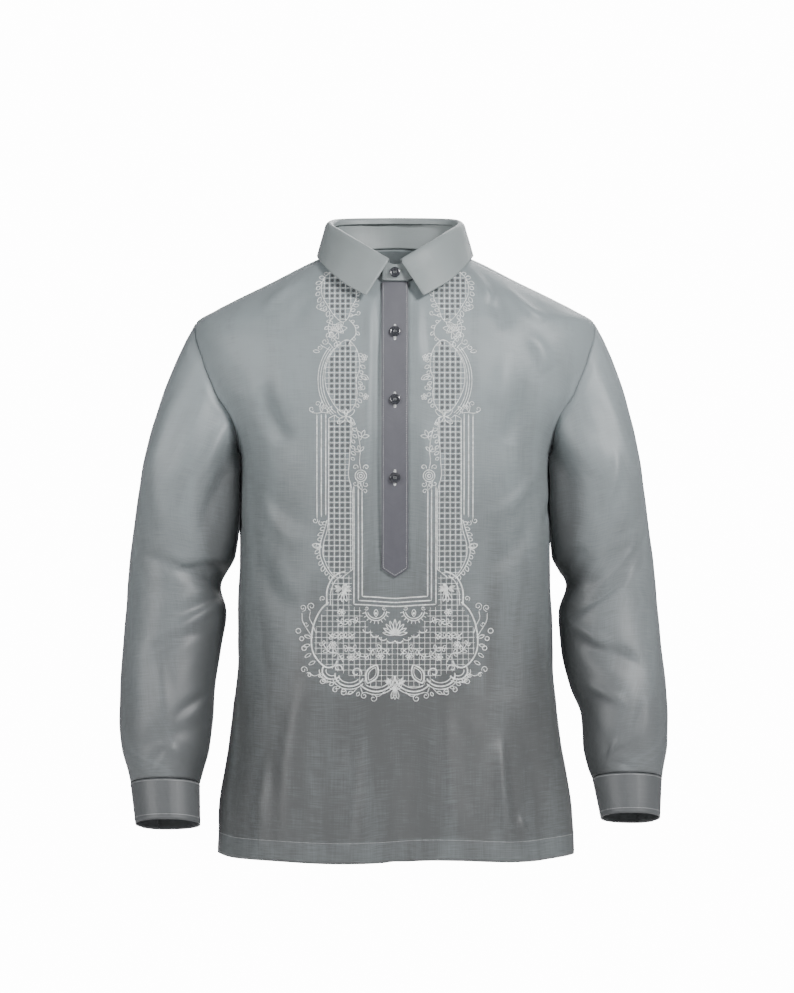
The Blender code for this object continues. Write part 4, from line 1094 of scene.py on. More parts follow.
def on_armholes(domain, front):
    """The fine grid with its outer columns drawn on to the armhole's own line, where the sleeve starts."""
    first = (ROWS_LOW + ROWS_MID) * FINE_UP
    arm = len(domain) - 1 - first
    rail = along(ARMHOLE_FRONT if front else ARMHOLE_BACK, 1.0 - np.arange(arm + 1) / arm)
    reach = 3 * FINE_ACROSS
    pull = ease(1.0 - np.arange(reach + 1) / reach)[None, :, None]
    for side in (-1, 1):
        turn = side * rail[0]
        if not front:
            turn = turn if side > 0 else 360.0 + turn
        at_right = (side > 0) == front
        line = pair(turn, rail[1])
        edge = domain[first:, -1] if at_right else domain[first:, 0]
        move = (line - edge)[:, None]
        if at_right:
            domain[first:, -reach - 1:] += move * pull[:, ::-1]
        else:
            domain[first:, :reach + 1] += move * pull
    return domain


front_domain = on_armholes(finer(domain_grid(True), FINE_UP, FINE_ACROSS), True)
angle, z = front_domain[..., 0], front_domain[..., 1]
front = front_point(angle, z)
rows, columns = front.shape[:2]
middle = columns // 2
first_row = ROWS_LOW * FINE_UP


def in_slot(i, j):
    return (i >= first_row) & (j >= middle - FINE_ACROSS) & (j < middle + FINE_ACROSS)


front_cloth = part_of(shell("front_cloth", front, SHELL, ORGANZA, skip=in_slot,
                            doubled_and_painted_shade=band_share(angle, z, True)))
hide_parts("front_panel")

back_domain = on_armholes(finer(domain_grid(False), FINE_UP, FINE_ACROSS), False)
angle, z = wrapped(back_domain[..., 0]), back_domain[..., 1]
back = body(angle, z, lift_of(angle, z, False))
back_cloth = part_of(shell("back_cloth", back, SHELL, ORGANZA, doubled_and_painted_shade=band_share(angle, z, False)))
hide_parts("back_panel")

SHADE_IN = 4.2          # how far a sleeve's share of doubled cloth goes below 0 on its inner side: painted shade, darkening the cloth where it faces the body
ALLOWANCE = 0.0065      # sleeve cloth turned in behind the body at the armhole
ALLOWANCE_IN = 0.0015   # how far behind the body's face it lies
SLEEVE_CLEAR = 0.0014   # gap kept where a sleeve lies against the body
HOLE_FADE = 0.012       # cloth below the armhole over which a sleeve's creases begin
CUFF_FADE = 0.010       # height above the cuff over which they end
SEAM_SWELL = 0.0005     # soft ridge of the allowance inside the top of the sleeve
SWELL_AT = 0.10         # its place, as a share of the cap
SWELL_WIDE = 0.05


def seam_allowance(front_count, back_count):
    """Rings that carry the sleeve (for +X) round the body's edge and in behind it, all round the armhole."""
    front_line = np.stack(along(ARMHOLE_FRONT, np.arange(front_count + 1) / front_count), axis=-1)
    back_line = np.stack(along(ARMHOLE_BACK, 1.0 - np.arange(1, back_count) / back_count), axis=-1)
    line = np.concatenate([front_line, back_line]) * (BODY_REACH, 1.0)
    ahead = np.roll(line, -3, axis=0) - np.roll(line, 3, axis=0)
    ahead = ahead / np.linalg.norm(ahead, axis=1, keepdims=True)
    into = np.stack([ahead[:, 1], -ahead[:, 0]], axis=-1)
    rings = []
    for reach, lift in ((ALLOWANCE, -ALLOWANCE_IN), (ALLOWANCE * 0.5, -ALLOWANCE_IN),
                        (-0.0006, -ALLOWANCE_IN), (-0.0012, -0.0003)):
        at = line + into * reach
        rings.append(body(at[:, 0] / BODY_REACH, at[:, 1], lift))
    return np.array(rings)


def clear_of_body(points, side):
    """Sleeve points (for +X) below the underarm, held just clear of the body's side."""
    angle = np.linspace(40.0, 140.0, 101)
    least = np.full(points.shape[:2], -1.0)
    for z in np.arange(-0.400, UNDERARM - 0.001, 0.002):
        lift = creases(SIDE_CREASES, side * angle, z, BODY_REACH, turn=True)
        line = body(angle, z, lift)
        near = np.abs(points[..., 2] - z) <= 0.001
        least[near] = np.interp(points[near][:, 1], line[:, 1], line[:, 0])
    made = points.copy()
    made[..., 0] = np.maximum(points[..., 0], least + SLEEVE_CLEAR)
    return made


def make_sleeve(name, side, sections, folds, fine_rows):
    """One sleeve and its cuff, each with its grid; both are worked out at +X."""
    front_count, back_count = ROWS_ARM * RING_STEPS, ROWS_ARM_BACK * RING_STEPS
    grid, alpha = sleeve_grid(sections, folds, CAP_RINGS * RING_STEPS, ARM_RINGS * RING_STEPS,
                              front_count, back_count)
    grid = np.roll(grid, -front_count, axis=1)
    alpha = np.roll(alpha, -front_count)[None]
    turn = np.radians(alpha)
    ring_z = grid[..., 2]
    share = np.arange(len(grid))[:, None] / (CAP_RINGS * RING_STEPS)
    run = np.cumsum(np.linalg.norm(np.diff(grid, axis=0), axis=-1), axis=0)
    from_hole = ease(np.concatenate([np.zeros(alpha.shape), run]) / HOLE_FADE)
    from_cuff = ease((ring_z - ring_z[-1:]) / CUFF_FADE)
    out = creases(fine_rows, alpha, ring_z, SLEEVE_REACH, turn=True) * SLEEVE_SHARE
    out = out + uneven(0.06 * np.sin(turn), ring_z + 0.05 * np.cos(turn), UNEVEN)
    out = out * from_hole * from_cuff + SEAM_SWELL * np.exp(-((share - SWELL_AT) / SWELL_WIDE) ** 2)
    grid = clear_of_body(grid + normals(grid, closed=True) * out[..., None], side)
    # Painted shade on the sleeve's inner side, where it faces the body, carried below 0 in the attribute with
    # the doubled cloth.
    inner_side_painted_shade = np.clip((-np.cos(turn) - 0.10) / 0.75, 0.0, 1.0) ** 1.4 * ease((-0.13 - ring_z) / 0.10)
    doubled_and_painted_shade = np.where(share < SWELL_AT, 1.0, 0.0) - SHADE_IN * inner_side_painted_shade
    tucked = np.roll(seam_allowance(front_count, back_count), -front_count, axis=1)
    grid = np.concatenate([tucked, grid])
    doubled_and_painted_shade = np.concatenate([np.ones(tucked.shape[:2]), doubled_and_painted_shade])
    cuff_row = next(row for row in CUFFS if row[0] == side)
    cuff = finer(cuff_grid(sections, cuff_row), FINE_SMALL, FINE_SMALL)
    if side < 0:
        grid = grid * MIRROR_X
        cuff = cuff * MIRROR_X
    sleeve = part_of(shell("sleeve_cloth_" + name, grid, SHELL, SLEEVE_CLOTH, closed=True, flip=side < 0,
                           doubled_and_painted_shade=doubled_and_painted_shade))
    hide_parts("sleeve_" + name)
    band = part_of(shell("cuff_cloth_" + name, cuff, SHELL_DOUBLE, CUFF_CLOTH, flip=side < 0))
    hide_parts("cuff_" + name)
    return (sleeve, grid), (band, cuff)


SIDES = (("right", -1, SLEEVE_RIGHT, RIGHT_FOLDS, RIGHT_CREASES),
         ("left", 1, SLEEVE_LEFT, LEFT_FOLDS, LEFT_CREASES))
sleeves = {}
cuffs = {}
for row in SIDES:
    sleeves[row[0]], cuffs[row[0]] = make_sleeve(*row)

# Collar: the crease by the left point is the photo's, and the leaves are very slightly wavy
COLLAR_CREASES = ((33, 8, 42, -12, 0.6, 1.8, 1.3),)
stand = finer(stand_grid(), FINE_SMALL, FINE_SMALL)
stand_cloth = part_of(shell("collar_stand_cloth", stand, SHELL_DOUBLE, COLLAR_CLOTH))
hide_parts("collar_stand")
fall = finer(fall_grid(), FINE_SMALL, FINE_SMALL)
down = np.arange(len(fall))[:, None] / (len(fall) - 1)
out = creases(COLLAR_CREASES, fall[..., 0], fall[..., 2]) * (fall[..., 1] < 0)
out = out + uneven(fall[..., 0] * 1.6, fall[..., 1] * 1.6, 0.00020) * ease((down - 0.4) / 0.4)
fall = fall - normals(fall) * out[..., None]
fall_cloth = part_of(shell("collar_fall_cloth", fall, SHELL_DOUBLE, COLLAR_CLOTH, flip=True))
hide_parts("collar_fall")


def placket_shell(name, foot_side, foot_middle, out, node):
    """A placket strip over the slot, standing `out` from the plain front."""
    x = np.linspace(-PLACKET_HALF, PLACKET_HALF, PLACKET_GRID[0])[None]
    t = np.linspace(0.0, 1.0, PLACKET_GRID[1])[:, None]
    foot = foot_middle + (foot_side - foot_middle) * np.abs(x) / PLACKET_HALF
    top = front[-1, middle, 2] - SEAM * 0.5
    z = foot + (top - foot) * t
    x = np.broadcast_to(x, z.shape)
    angle = np.sign(x) * angle_across(x, z)
    points = body(angle, z, out + uneven(x * 2, z, 0.00012))
    made = part_of(shell(name, points, PLACKET_SHELL, PLACKET_CLOTH))
    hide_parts(node)
    return made


PLACKET_GRID = (25, 150)
PLACKET_SHELL = 0.0015
PLACKET_OUT = SEAM + DOUBLE + 0.0001
PLACKET_UNDER = -(CLOTH + SEAM + 0.0001)
placket_cloth = placket_shell("placket_over_cloth", PLACKET_SIDES, PLACKET_POINT, PLACKET_OUT, "placket_over")
under_cloth = placket_shell("placket_under_cloth", UNDER_FOOT, UNDER_FOOT, PLACKET_UNDER, "placket_under")


# --- Threads ---


class Threads:
    """Many threads laid on a surface, gathered into one mesh. Paths are in metres across and up."""

    def __init__(self):
        self.flat = []
        self.faces = []
        self.count = 0

    def lay(self, path, wide, high, closed=False, step=0.0011):
        """One thread along a path, half round, its ends tapered."""
        path = np.asarray(path, float)
        if closed:
            path = np.concatenate([path, path[:1]])
        run = np.concatenate([[0.0], np.cumsum(np.hypot(*np.diff(path, axis=0).T))])
        if run[-1] < 1e-5:
            return
        steps = max(2, int(math.ceil(run[-1] / step)))
        at = np.linspace(0.0, run[-1], steps + 1)
        line = np.stack([np.interp(at, run, path[:, 0]), np.interp(at, run, path[:, 1])], axis=-1)
        if closed:
            ahead = np.roll(line[:-1], -1, axis=0) - np.roll(line[:-1], 1, axis=0)
            ahead = np.concatenate([ahead, ahead[:1]])
        else:
            ahead = np.gradient(line, axis=0)
        ahead = ahead / np.maximum(np.linalg.norm(ahead, axis=1, keepdims=True), 1e-12)
        side = np.stack([-ahead[:, 1], ahead[:, 0]], axis=-1)
        full = np.ones(len(line))
        if not closed:
            full = np.clip(np.minimum(at, run[-1] - at) / (wide * 0.6) + 0.35, 0.35, 1.0)
        for across, up in ((-0.5, -0.22), (-0.34, 0.62), (0.0, 1.0), (0.34, 0.62), (0.5, -0.22)):
            offset = line + side * (across * wide * full)[:, None]
            self.flat.append(np.concatenate([offset, (up * high * full)[:, None]], axis=1))
        n = len(line)
        i = np.arange(n - 1)[:, None]
        k = np.arange(4)[None]
        a = self.count + k * n + i
        quads = np.stack([a, a + 1, a + n + 1, a + n], axis=-1).reshape(-1, 4)
        self.faces.append(quads)
        self.count += n * 5

    def dome(self, x, z, radius, high, turns=8, sunk=-0.00008):
        """A round knot, or with `high` near nothing a flat spot."""
        turn = np.arange(turns) * 2 * math.pi / turns
        for share, up in ((1.0, sunk), (0.66, high * 0.72), (0.0, high)):
            ring = np.stack([x + share * radius * np.cos(turn), z + share * radius * np.sin(turn),
                             np.full(turns, up)], axis=-1)
            self.flat.append(ring)
        j = np.arange(turns)
        k = (j + 1) % turns
        for low in (0, turns):
            a = self.count + low
            self.faces.append(np.stack([a + j, a + k, a + turns + k, a + turns + j], axis=-1))
        self.count += 3 * turns

    def make(self, name, material, surface):
        flat = np.concatenate(self.flat)
        faces = np.concatenate(self.faces)
        points = surface(flat[:, 0], flat[:, 1], flat[:, 2])
        made = mesh_from(name, points, faces, material)
        bm = bmesh.new()
        bm.from_mesh(made.data)
        bmesh.ops.remove_doubles(bm, verts=bm.verts, dist=1e-7)
        bm.to_mesh(made.data)
        bm.free()
        return made


def on_front(x, z, lift):
    """A place on the front cloth at `x` across."""
    return front_point(np.sign(x) * angle_across(x, z), z, lift)


def curve(points, closed=False, steps=8):
    """A smooth path through points (Catmull-Rom)."""
    p = np.asarray(points, float)
    if closed:
        p = np.concatenate([p[-1:], p, p[:2]])
    else:
        p = np.concatenate([2 * p[:1] - p[1:2], p, 2 * p[-1:] - p[-2:-1]])
    t = (np.arange(steps) / steps)[None, :, None]
    a, b, c, d = p[:-3, None], p[1:-2, None], p[2:-1, None], p[3:, None]
    cubic = (2 * a - 5 * b + 4 * c - d) * t ** 2 + (3 * b - a - 3 * c + d) * t ** 3
    made = (0.5 * (2 * b + (c - a) * t + cubic)).reshape(-1, 2)
    return made if closed else np.concatenate([made, p[-2:-1]])


def arc(x, z, wide, high, start, end, count=20):
    turn = np.radians(np.linspace(start, end, count))
    return np.stack([x + wide * np.cos(turn), z + high * np.sin(turn)], axis=-1)


def curl(x, z, radius, start, turns, tail=0.25):
    """A spiral that winds in towards (x, z)."""
    t = np.linspace(0.0, 1.0, 26)
    turn = np.radians(start) + t * turns * 2 * math.pi
    size = radius * (1 - (1 - tail) * t)
    return np.stack([x + size * np.cos(turn), z + size * np.sin(turn)], axis=-1)


def leaf(x, z, turn, length, width, count=9):
    """A pointed oval outline from its foot at (x, z)."""
    t = np.linspace(0.0, 1.0, count)
    half = width / 2 * np.sin(math.pi * t) ** 0.85
    along_it = np.concatenate([t * length, t[::-1] * length])
    across = np.concatenate([half, -half[::-1]])
    c, s = math.cos(math.radians(turn)), math.sin(math.radians(turn))
    return np.stack([x + along_it * c - across * s, z + along_it * s + across * c], axis=-1)


def spans(outlines, level, upright):
    """The stretches of a straight line at `level` that lie inside outlines, by even-odd crossings."""
    fixed, free = (0, 1) if upright else (1, 0)
    hits = []
    for outline in outlines:
        a = np.asarray(outline)
        b = np.roll(a, -1, axis=0)
        cross = (a[:, fixed] <= level) != (b[:, fixed] <= level)
        a, b = a[cross], b[cross]
        share = (level - a[:, fixed]) / (b[:, fixed] - a[:, fixed])
        hits.extend(a[:, free] + (b[:, free] - a[:, free]) * share)
    hits = sorted(hits)
    return list(zip(hits[0::2], hits[1::2]))


def inside(outlines, x, z):
    return any(low < z < high for low, high in spans(outlines, x, True))


PITCH = 6.3             # cell of the net
NET_WIDE = 0.74
LINE = 0.95             # width of a plain thread
BAR_STEP = 2.1
BAR_WAVE = 0.26         # how far a bar of the net strays
HOLE_RADIUS = 1.95
fine = Threads()
bold = Threads()
net = Threads()
holes = Threads()


def put(kind, path, wide=LINE, high=0.55, closed=False, both=True, step=1.1):
    """A thread on the +X side and its mirror image, sizes in millimetres."""
    path = np.asarray(path, float)
    for side in ((1, -1) if both else (1,)):
        kind.lay(path * (side * MM, MM), wide * MM, high * MM, closed, step * MM)


def knot(kind, x, z, radius, high, both=True, turns=8, sunk=-0.08):
    for side in ((1, -1) if both else (1,)):
        kind.dome(x * side * MM, z * MM, radius * MM, high * MM, turns, sunk * MM)


def satin(x, z, turn, length, width):
    """A padded leaf in satin stitch: close threads across its outline."""
    c, s = math.cos(math.radians(turn)), math.sin(math.radians(turn))
    count = max(4, int(length / 0.9))
    for k in range(count):
        t = (k + 0.5) / count
        half = width / 2 * math.sin(math.pi * t) ** 0.8
        mid = np.array([x + t * length * c, z + t * length * s])
        lean = np.array([-s, c]) * half
        put(fine, [mid - lean, mid + lean], 0.95, 0.70, step=0.9)


def lattice(outlines, origin_x, origin_z, wide=NET_WIDE):
    """Drawn-thread work: crossed bars, a knot at each crossing and an open spot in each cell."""
    low = np.min([np.min(o, axis=0) for o in outlines], axis=0)
    high = np.max([np.max(o, axis=0) for o in outlines], axis=0)
    levels = []
    for first, last, origin in zip(low, high, (origin_x, origin_z)):
        cells = np.arange(math.ceil((first - origin) / PITCH), (last - origin) / PITCH)
        levels.append(cells * PITCH + origin)
    for upright, pace, phase, tall in ((True, 1.31, 2.3, 0.42), (False, 1.27, 1.9, 0.46)):
        for level in levels[0 if upright else 1]:
            for a, b in spans(outlines, level, upright):
                run = np.linspace(a, b, max(2, int((b - a) / BAR_STEP)))
                wavy = level + BAR_WAVE * np.sin(run * pace + level * phase)
                bar = np.stack([wavy, run] if upright else [run, wavy], axis=-1)
                put(net, bar, wide, tall, step=BAR_STEP)
    for x in levels[0]:
        for z in levels[1]:
            if inside(outlines, x, z):
                knot(net, x, z, wide * 1.25, 0.66, turns=6)
            x2, z2 = x + PITCH / 2, z + PITCH / 2
            if all(inside(outlines, x2 + dx, z2 + dz) for dx in (-2.2, 2.2) for dz in (-2.2, 2.2)):
                knot(holes, x2, z2, HOLE_RADIUS, 0.10, turns=10, sunk=0.02)


def leaves(*rows, **how):
    """Open leaves, each by its foot, turn, length and width."""
    for row in rows:
        put(fine, leaf(*row), closed=True, **how)


def curls(*rows):
    """Curls, each by its middle, radius, start and number of turns."""
    for row in rows:
        put(fine, curl(*row))


def vines(*paths):
    """Plain curved threads."""
    for path in paths:
        put(fine, curve(path))


def chain(path, length, width, lean=55.0, both_sides=False, every=7.0):
    """Little leaves one after another along a path."""
    path = np.asarray(path, float)
    run = np.concatenate([[0.0], np.cumsum(np.hypot(*np.diff(path, axis=0).T))])
    for k, at in enumerate(np.arange(every * 0.5, run[-1], every)):
        (x, x2), (z, z2) = (np.interp((at, at + 0.5), run, path[:, axis]) for axis in (0, 1))
        heading = math.degrees(math.atan2(z2 - z, x2 - x))
        size = length * (0.85 + 0.3 * (k % 3) / 2)
        for side in ((1, -1) if both_sides else (1,)):
            leaves((x, z, heading + side * lean, size, width))


def sprig(x, z, turn, size):
    """Three open leaves on a short stem."""
    c, s = math.cos(math.radians(turn)), math.sin(math.radians(turn))
    put(fine, [(x, z), (x + size * 0.5 * c, z + size * 0.5 * s)])
    for lean in (-58.0, 0.0, 58.0):
        leaves((x + size * 0.4 * c, z + size * 0.4 * s, turn + lean, size * 0.8, size * 0.34))


# Upper medallion, which comes out from under the collar
upper = curve([(45, -40), (47, -26), (58, -14), (74, -14), (85, -27), (86, -43), (79, -57), (72, -68),
               (62, -77), (55, -72), (51, -60), (46, -50)], closed=True)
lattice([upper], 45.4, -29.5)
put(fine, upper, closed=True)
edge = curve([(76, -16), (86, -27), (88, -43), (81, -58), (73, -70)])
chain(edge, 6.5, 4.2, lean=50.0, every=6.4)
chain(curve([(45, -40), (46, -52), (51, -62), (55, -73)])[::-1], 5.6, 3.6, lean=50.0, every=6.6)
curls((89, -58, 4.0, 200, 1.1), (43, -66, 3.2, -20, -1.1))
vines([(80, -60), (84, -63), (88, -62)], [(54, -70), (49, -69), (45, -68)])

# Waist between the medallions: crossed petals and leaf chains
for x, z, turn in ((60, -77, -38), (60, -90, 38), (56, -84, -8), (66, -82, -52), (66, -97, 60)):
    leaves((x, z, turn, 17, 7.0))
for x, z, turn in ((61, -79, -40), (61, -89, 40)):
    leaves((x + 1.6, z, turn, 10, 3.6), wide=1.0)
vine = curve([(74, -72), (78, -82), (76, -92), (69, -99), (66, -108)])
put(fine, vine)
chain(vine, 5.4, 3.4, lean=48.0, both_sides=True, every=7.4)
vine = curve([(54, -74), (47, -82), (46, -92), (52, -99), (54, -104)])
put(fine, vine)
chain(vine, 5.0, 3.2, lean=-48.0, every=7.0)
curls((82, -100, 4.4, 120, 1.25), (88, -107, 3.4, 100, 1.2))
vines([(74, -112), (80, -108), (86, -105)], [(72, -108), (76, -103), (79, -101)])
leaves((88, -112, 8, 8, 3.4))

# Second medallion, with three arcs outside it
second = curve([(48, -104), (56, -98), (66, -104), (76, -117), (81, -132), (81, -150), (76, -165), (66, -180),
                (56, -184), (48, -177), (44, -163), (45, -146), (41, -130), (43, -114)], closed=True)
lattice([second], 45.4, -105.1)
put(fine, second, closed=True)
for away in (2.6, 5.4, 8.2):
    put(fine, arc(56, -145, 25.5 + away, 41.0 + away * 0.9, 62 - away, -66 + away, 34))
chain(curve([(43, -112), (40, -128), (43, -146), (42, -162), (46, -176)]), 5.6, 3.8, lean=-60.0, every=6.6)
for x, z in ((35.5, -119), (34.0, -165)):
    for k in range(5):
        leaves((x, z, 72 * k + 18, 4.0, 2.4, 6), wide=1.0)
leaves((40, -140, 205, 10.5, 5.6))
leaves((39, -141.5, 205, 6.5, 2.8), wide=1.0)
curls((37, -154, 3.8, 60, -1.2))
vines([(43, -150), (40, -150), (38, -151)])
for turn in (38, 142, -38, -142):
    leaves((57, -188, turn, 13, 5.4))
leaves((57, -188, 90, 9, 3.6))

# Triple rails at the outside, with sprig caps and curled feet
for k, x in enumerate((80.6, 85.8, 91.0)):
    put(fine, [(x, -184.5 - 0.4 * k), (x, -303.0 - 2.0 * k)], wide=1.4, step=3.0)
vines([(77, -184), (84, -183), (91, -184), (97, -183)])
for x, z, start, way in ((82, -177, -70, 1.2), (90, -173, -110, -1.2), (97, -179, -140, 1.1)):
    curls((x, z, 3.6, start, way))
leaves((86, -183, 96, 13, 4.0), (79, -183, 128, 9, 3.4))
for x, z, start, way in ((93.5, -309, 150, 1.1), (86, -312, 60, -1.1)):
    curls((x, z, 3.4, start, way))

# Lattice column, wider below the rails
column = np.concatenate([
    curve([(51, -190), (50, -205), (52, -222), (53, -240), (54, -256), (51, -268)]),
    [(49.5, -275), (49.5, -366), (57, -372)],
    curve([(62, -376), (70, -374), (78, -364), (84, -348), (83, -334), (79, -320), (77.5, -306)]),
    [(77.2, -190)],
    curve([(70, -186), (64, -190), (57, -187)])])
lattice([column], 45.4, -193.3)
put(fine, column, closed=True)
edge = curve([(79, -308), (83, -322), (87, -336), (87, -350), (80, -366), (70, -377)])
put(fine, edge, wide=1.1)
chain(edge, 6.2, 4.0, lean=52.0, every=6.6)
leaves((86, -340, 14, 11, 5.4), wide=1.5)
chain(curve([(51, -192), (49, -206), (51, -222), (51, -238)]), 5.6, 3.4, lean=-58.0, every=6.8)

# Inner edge of the column: sprig, rose and curls
vines([(45, -200), (42, -212), (40, -226), (41, -240), (39.5, -249)])
sprig(40, -216, 112, 11)
sprig(39.6, -232, 74, 9)
for radius in (1.9, 4.3, 6.8):
    put(fine, arc(39.5, -257, radius, radius, 0, 346, 26), closed=True, wide=1.15)
for x, z, start, way in ((33, -247, -30, 1.1), (46, -247, 210, -1.1), (33.5, -267, 60, -1.1),
                         (46, -266, 120, 1.1)):
    curls((x, z, 3.5, start, way))

# Inner frame: three rails that turn under the placket, slightly bowed
for k, (x, z) in enumerate(((38.1, -397.3), (42.5, -402.0), (47.7, -406.6))):
    put(fine, [(x, -273.0 + 2.0 * k), (x, z)], wide=1.5, high=0.6, step=3.0)
    bow = curve([(x, z), (x * 0.5, z - 1.1), (0, z - 2.4), (-x * 0.5, z - 1.1), (-x, z)])
    put(fine, bow, wide=1.5, high=0.6, both=False, step=2.0)
leaves((38.1, -273, 62, 9, 3.8), (42.5, -271, 108, 8, 3.6))
curls((34.5, -275, 3.0, 10, 1.1))

# Bib: lattice down to the border, cut away around the fan, the crescents and two oval openings
half_edge = np.concatenate([
    [(0, -449)],
    curve([(9, -448), (20, -443), (31, -433), (37, -420), (40, -409.5)]),
    [(49.8, -409.5), (49.8, -372)],
    curve([(57, -373), (64, -373), (73, -380), (77, -392), (78, -408), (86, -420), (92, -436), (93.5, -456),
           (88, -471), (78, -479), (64, -486), (52, -490), (42, -496), (30, -503), (16, -502), (0, -498)])])
opening = leaf(21, -477, -62, 24, 13.5)
bib_half = [np.concatenate([half_edge, [(0, -449)]]), opening]
lattice(bib_half, PITCH / 2, -451.6, 0.60)
put(fine, opening, closed=True, wide=1.9, high=0.75)
leaves((22.5, -480, -62, 17, 8.0), wide=1.0)
put(bold, curve([(58, -368), (66, -371), (74, -378), (79, -391), (79, -408)]), 1.9, 0.85)
put(bold, curve([(77, -404), (86, -413), (93, -427), (96.5, -444), (95.5, -460), (89, -472), (79, -480),
                 (70, -478), (67, -472)]), 1.9, 0.85)
put(fine, curve([(62, -373), (70, -380), (74.5, -392), (75, -408)]), 1.1)

# Satin leaves at the corners of the frame
for turn, length in ((196, 12), (168, 11), (140, 9), (228, 9), (20, 9), (-30, 8)):
    satin(62, -388, turn, length, 4.2)
for turn in (252, 276, 300):
    leaves((60, -391, turn, 13, 3.6))

# Fringed crescents and the fan between them
for start, end, radius in ((186, 352, 12.5), (192, 346, 10.0)):
    put(fine, arc(22, -413, radius, radius, start, end, 22), wide=1.3)
for turn in range(192, 351, 17):
    c, s = math.cos(math.radians(turn)), math.sin(math.radians(turn))
    put(fine, [(22 + 13 * c, -413 + 13 * s), (22 + 16.6 * c, -413 + 16.6 * s)], wide=1.0)
leaves((22, -421, 90, 9, 4.6))
knot(fine, 22, -417, 1.5, 0.7)
curls((12.5, -411, 2.6, 200, 1.1), (33, -411, 2.6, -20, -1.1))
for turn in range(90, 179, 20):
    put(fine, leaf(0, -442, 180 - turn, 18.5 - 0.05 * abs(turn - 90), 3.4), closed=True, wide=1.15)
put(fine, arc(0, -442, 4.6, 3.0, 0, 180, 12), both=False, wide=1.6)
for k in range(4):
    x = 4.6 + 9.2 * k
    put(fine, arc(x, -447 + 2.2 * k + 1.1 * k * k * 0.5, 4.9, 4.2, 200 + 6 * k, 345 + 6 * k, 12), wide=1.3)

# Faint vines over the lattice
for points in ([(6, -466), (14, -458), (25, -459), (32, -467), (42, -466), (50, -457), (58, -458)],
               [(46, -440), (56, -446), (62, -440), (70, -446), (78, -440)],
               [(60, -474), (66, -464), (76, -462), (84, -452)],
               [(40, -428), (50, -424), (58, -430), (68, -424)]):
    vine = curve(points)
    put(fine, vine, wide=1.1, high=0.72)
    chain(vine, 5.4, 3.2, lean=50.0, both_sides=True, every=9.5)
for x, z in ((17, -467), (51, -468), (72, -454), (62, -416)):
    for k in range(6):
        leaves((x, z, 60 * k, 4.6, 2.6, 6), wide=1.0, high=0.75)
    knot(fine, x, z, 1.2, 0.9)

# Lower border: satin scrolls, scallops and outer curls
for x, z, wide, high, start, end in ((22, -487, 23, 21, 186, 322), (53, -489, 16.5, 13, 196, 372),
                                     (73, -484, 11, 10, 214, 392)):
    put(bold, arc(x, z, wide, high, start, end, 26), 1.9, 0.85)
    put(fine, arc(x, z, wide - 4.2, high - 4.2, start + 14, end - 14, 20), wide=1.2)
    put(fine, arc(x, z, wide + 3.4, high + 3.4, start + 20, end - 24, 20), wide=1.1)
put(bold, curl(45, -486, 6.5, 205, -1.0), 1.6, 0.8)
put(bold, curl(66, -481, 5.0, 205, -1.0), 1.5, 0.8)
for turn, length in ((90, 15), (64, 13), (40, 11), (116, 13), (140, 11)):
    leaves((0, -506, turn, length, 4.4), both=False)
for turn in (-70, -110, -90):
    leaves((0, -505, turn, 12, 4.2), both=False)
for turn in (32, 58):
    satin(4, -500, turn, 10, 3.6)
curls((25, -516, 4.6, 60, 1.3), (36, -513, 4.0, 120, -1.3), (60, -509, 4.2, 60, 1.3),
      (69, -506, 3.6, 110, -1.2), (84, -496, 4.2, 90, 1.2), (105, -483, 4.2, 200, -1.2),
      (99, -489, 3.2, 30, 1.1))
vines([(12, -508), (18, -513), (22, -513)], [(44, -504), (50, -510), (57, -511)],
      [(84, -486), (92, -490), (100, -487)], [(74, -496), (80, -498), (82, -497)],
      [(40, -503), (38, -509), (37, -510)])
chain(curve([(38, -508), (46, -509), (56, -505), (66, -501), (76, -495), (84, -489)]), 5.8, 3.4,
      lean=-52.0, every=7.8)

# Curls and small rounds at the bib's outer sides
vines([(92, -440), (95, -431), (99, -423), (98, -415)],
      [(95, -446), (101, -437), (107, -427), (108, -417)])
curls((97, -409, 4.8, -80, 1.3), (107, -411, 4.2, -80, -1.3), (103, -430, 3.0, 190, 1.1),
      (84, -400, 3.4, -60, 1.2))
for x, z, radius in ((112, -438, 2.9), (108, -447, 2.4), (105, -458, 2.7)):
    put(fine, arc(x, z, radius, radius, 0, 340, 14), closed=True, wide=1.1)
for x, z, turn in ((97, -446, 20), (98, -454, -14), (97, -464, -34), (92, -473, -30)):
    leaves((x, z, turn, 8.5, 3.4))

for name, kind, material in (("embroidery_net", net, SILVER), ("embroidery_lines", fine, SILVER),
                             ("embroidery_satin", bold, SILVER), ("embroidery_openings", holes, DRAWN)):
    part_of(kind.make(name, material, on_front))


# --- Stitching ---


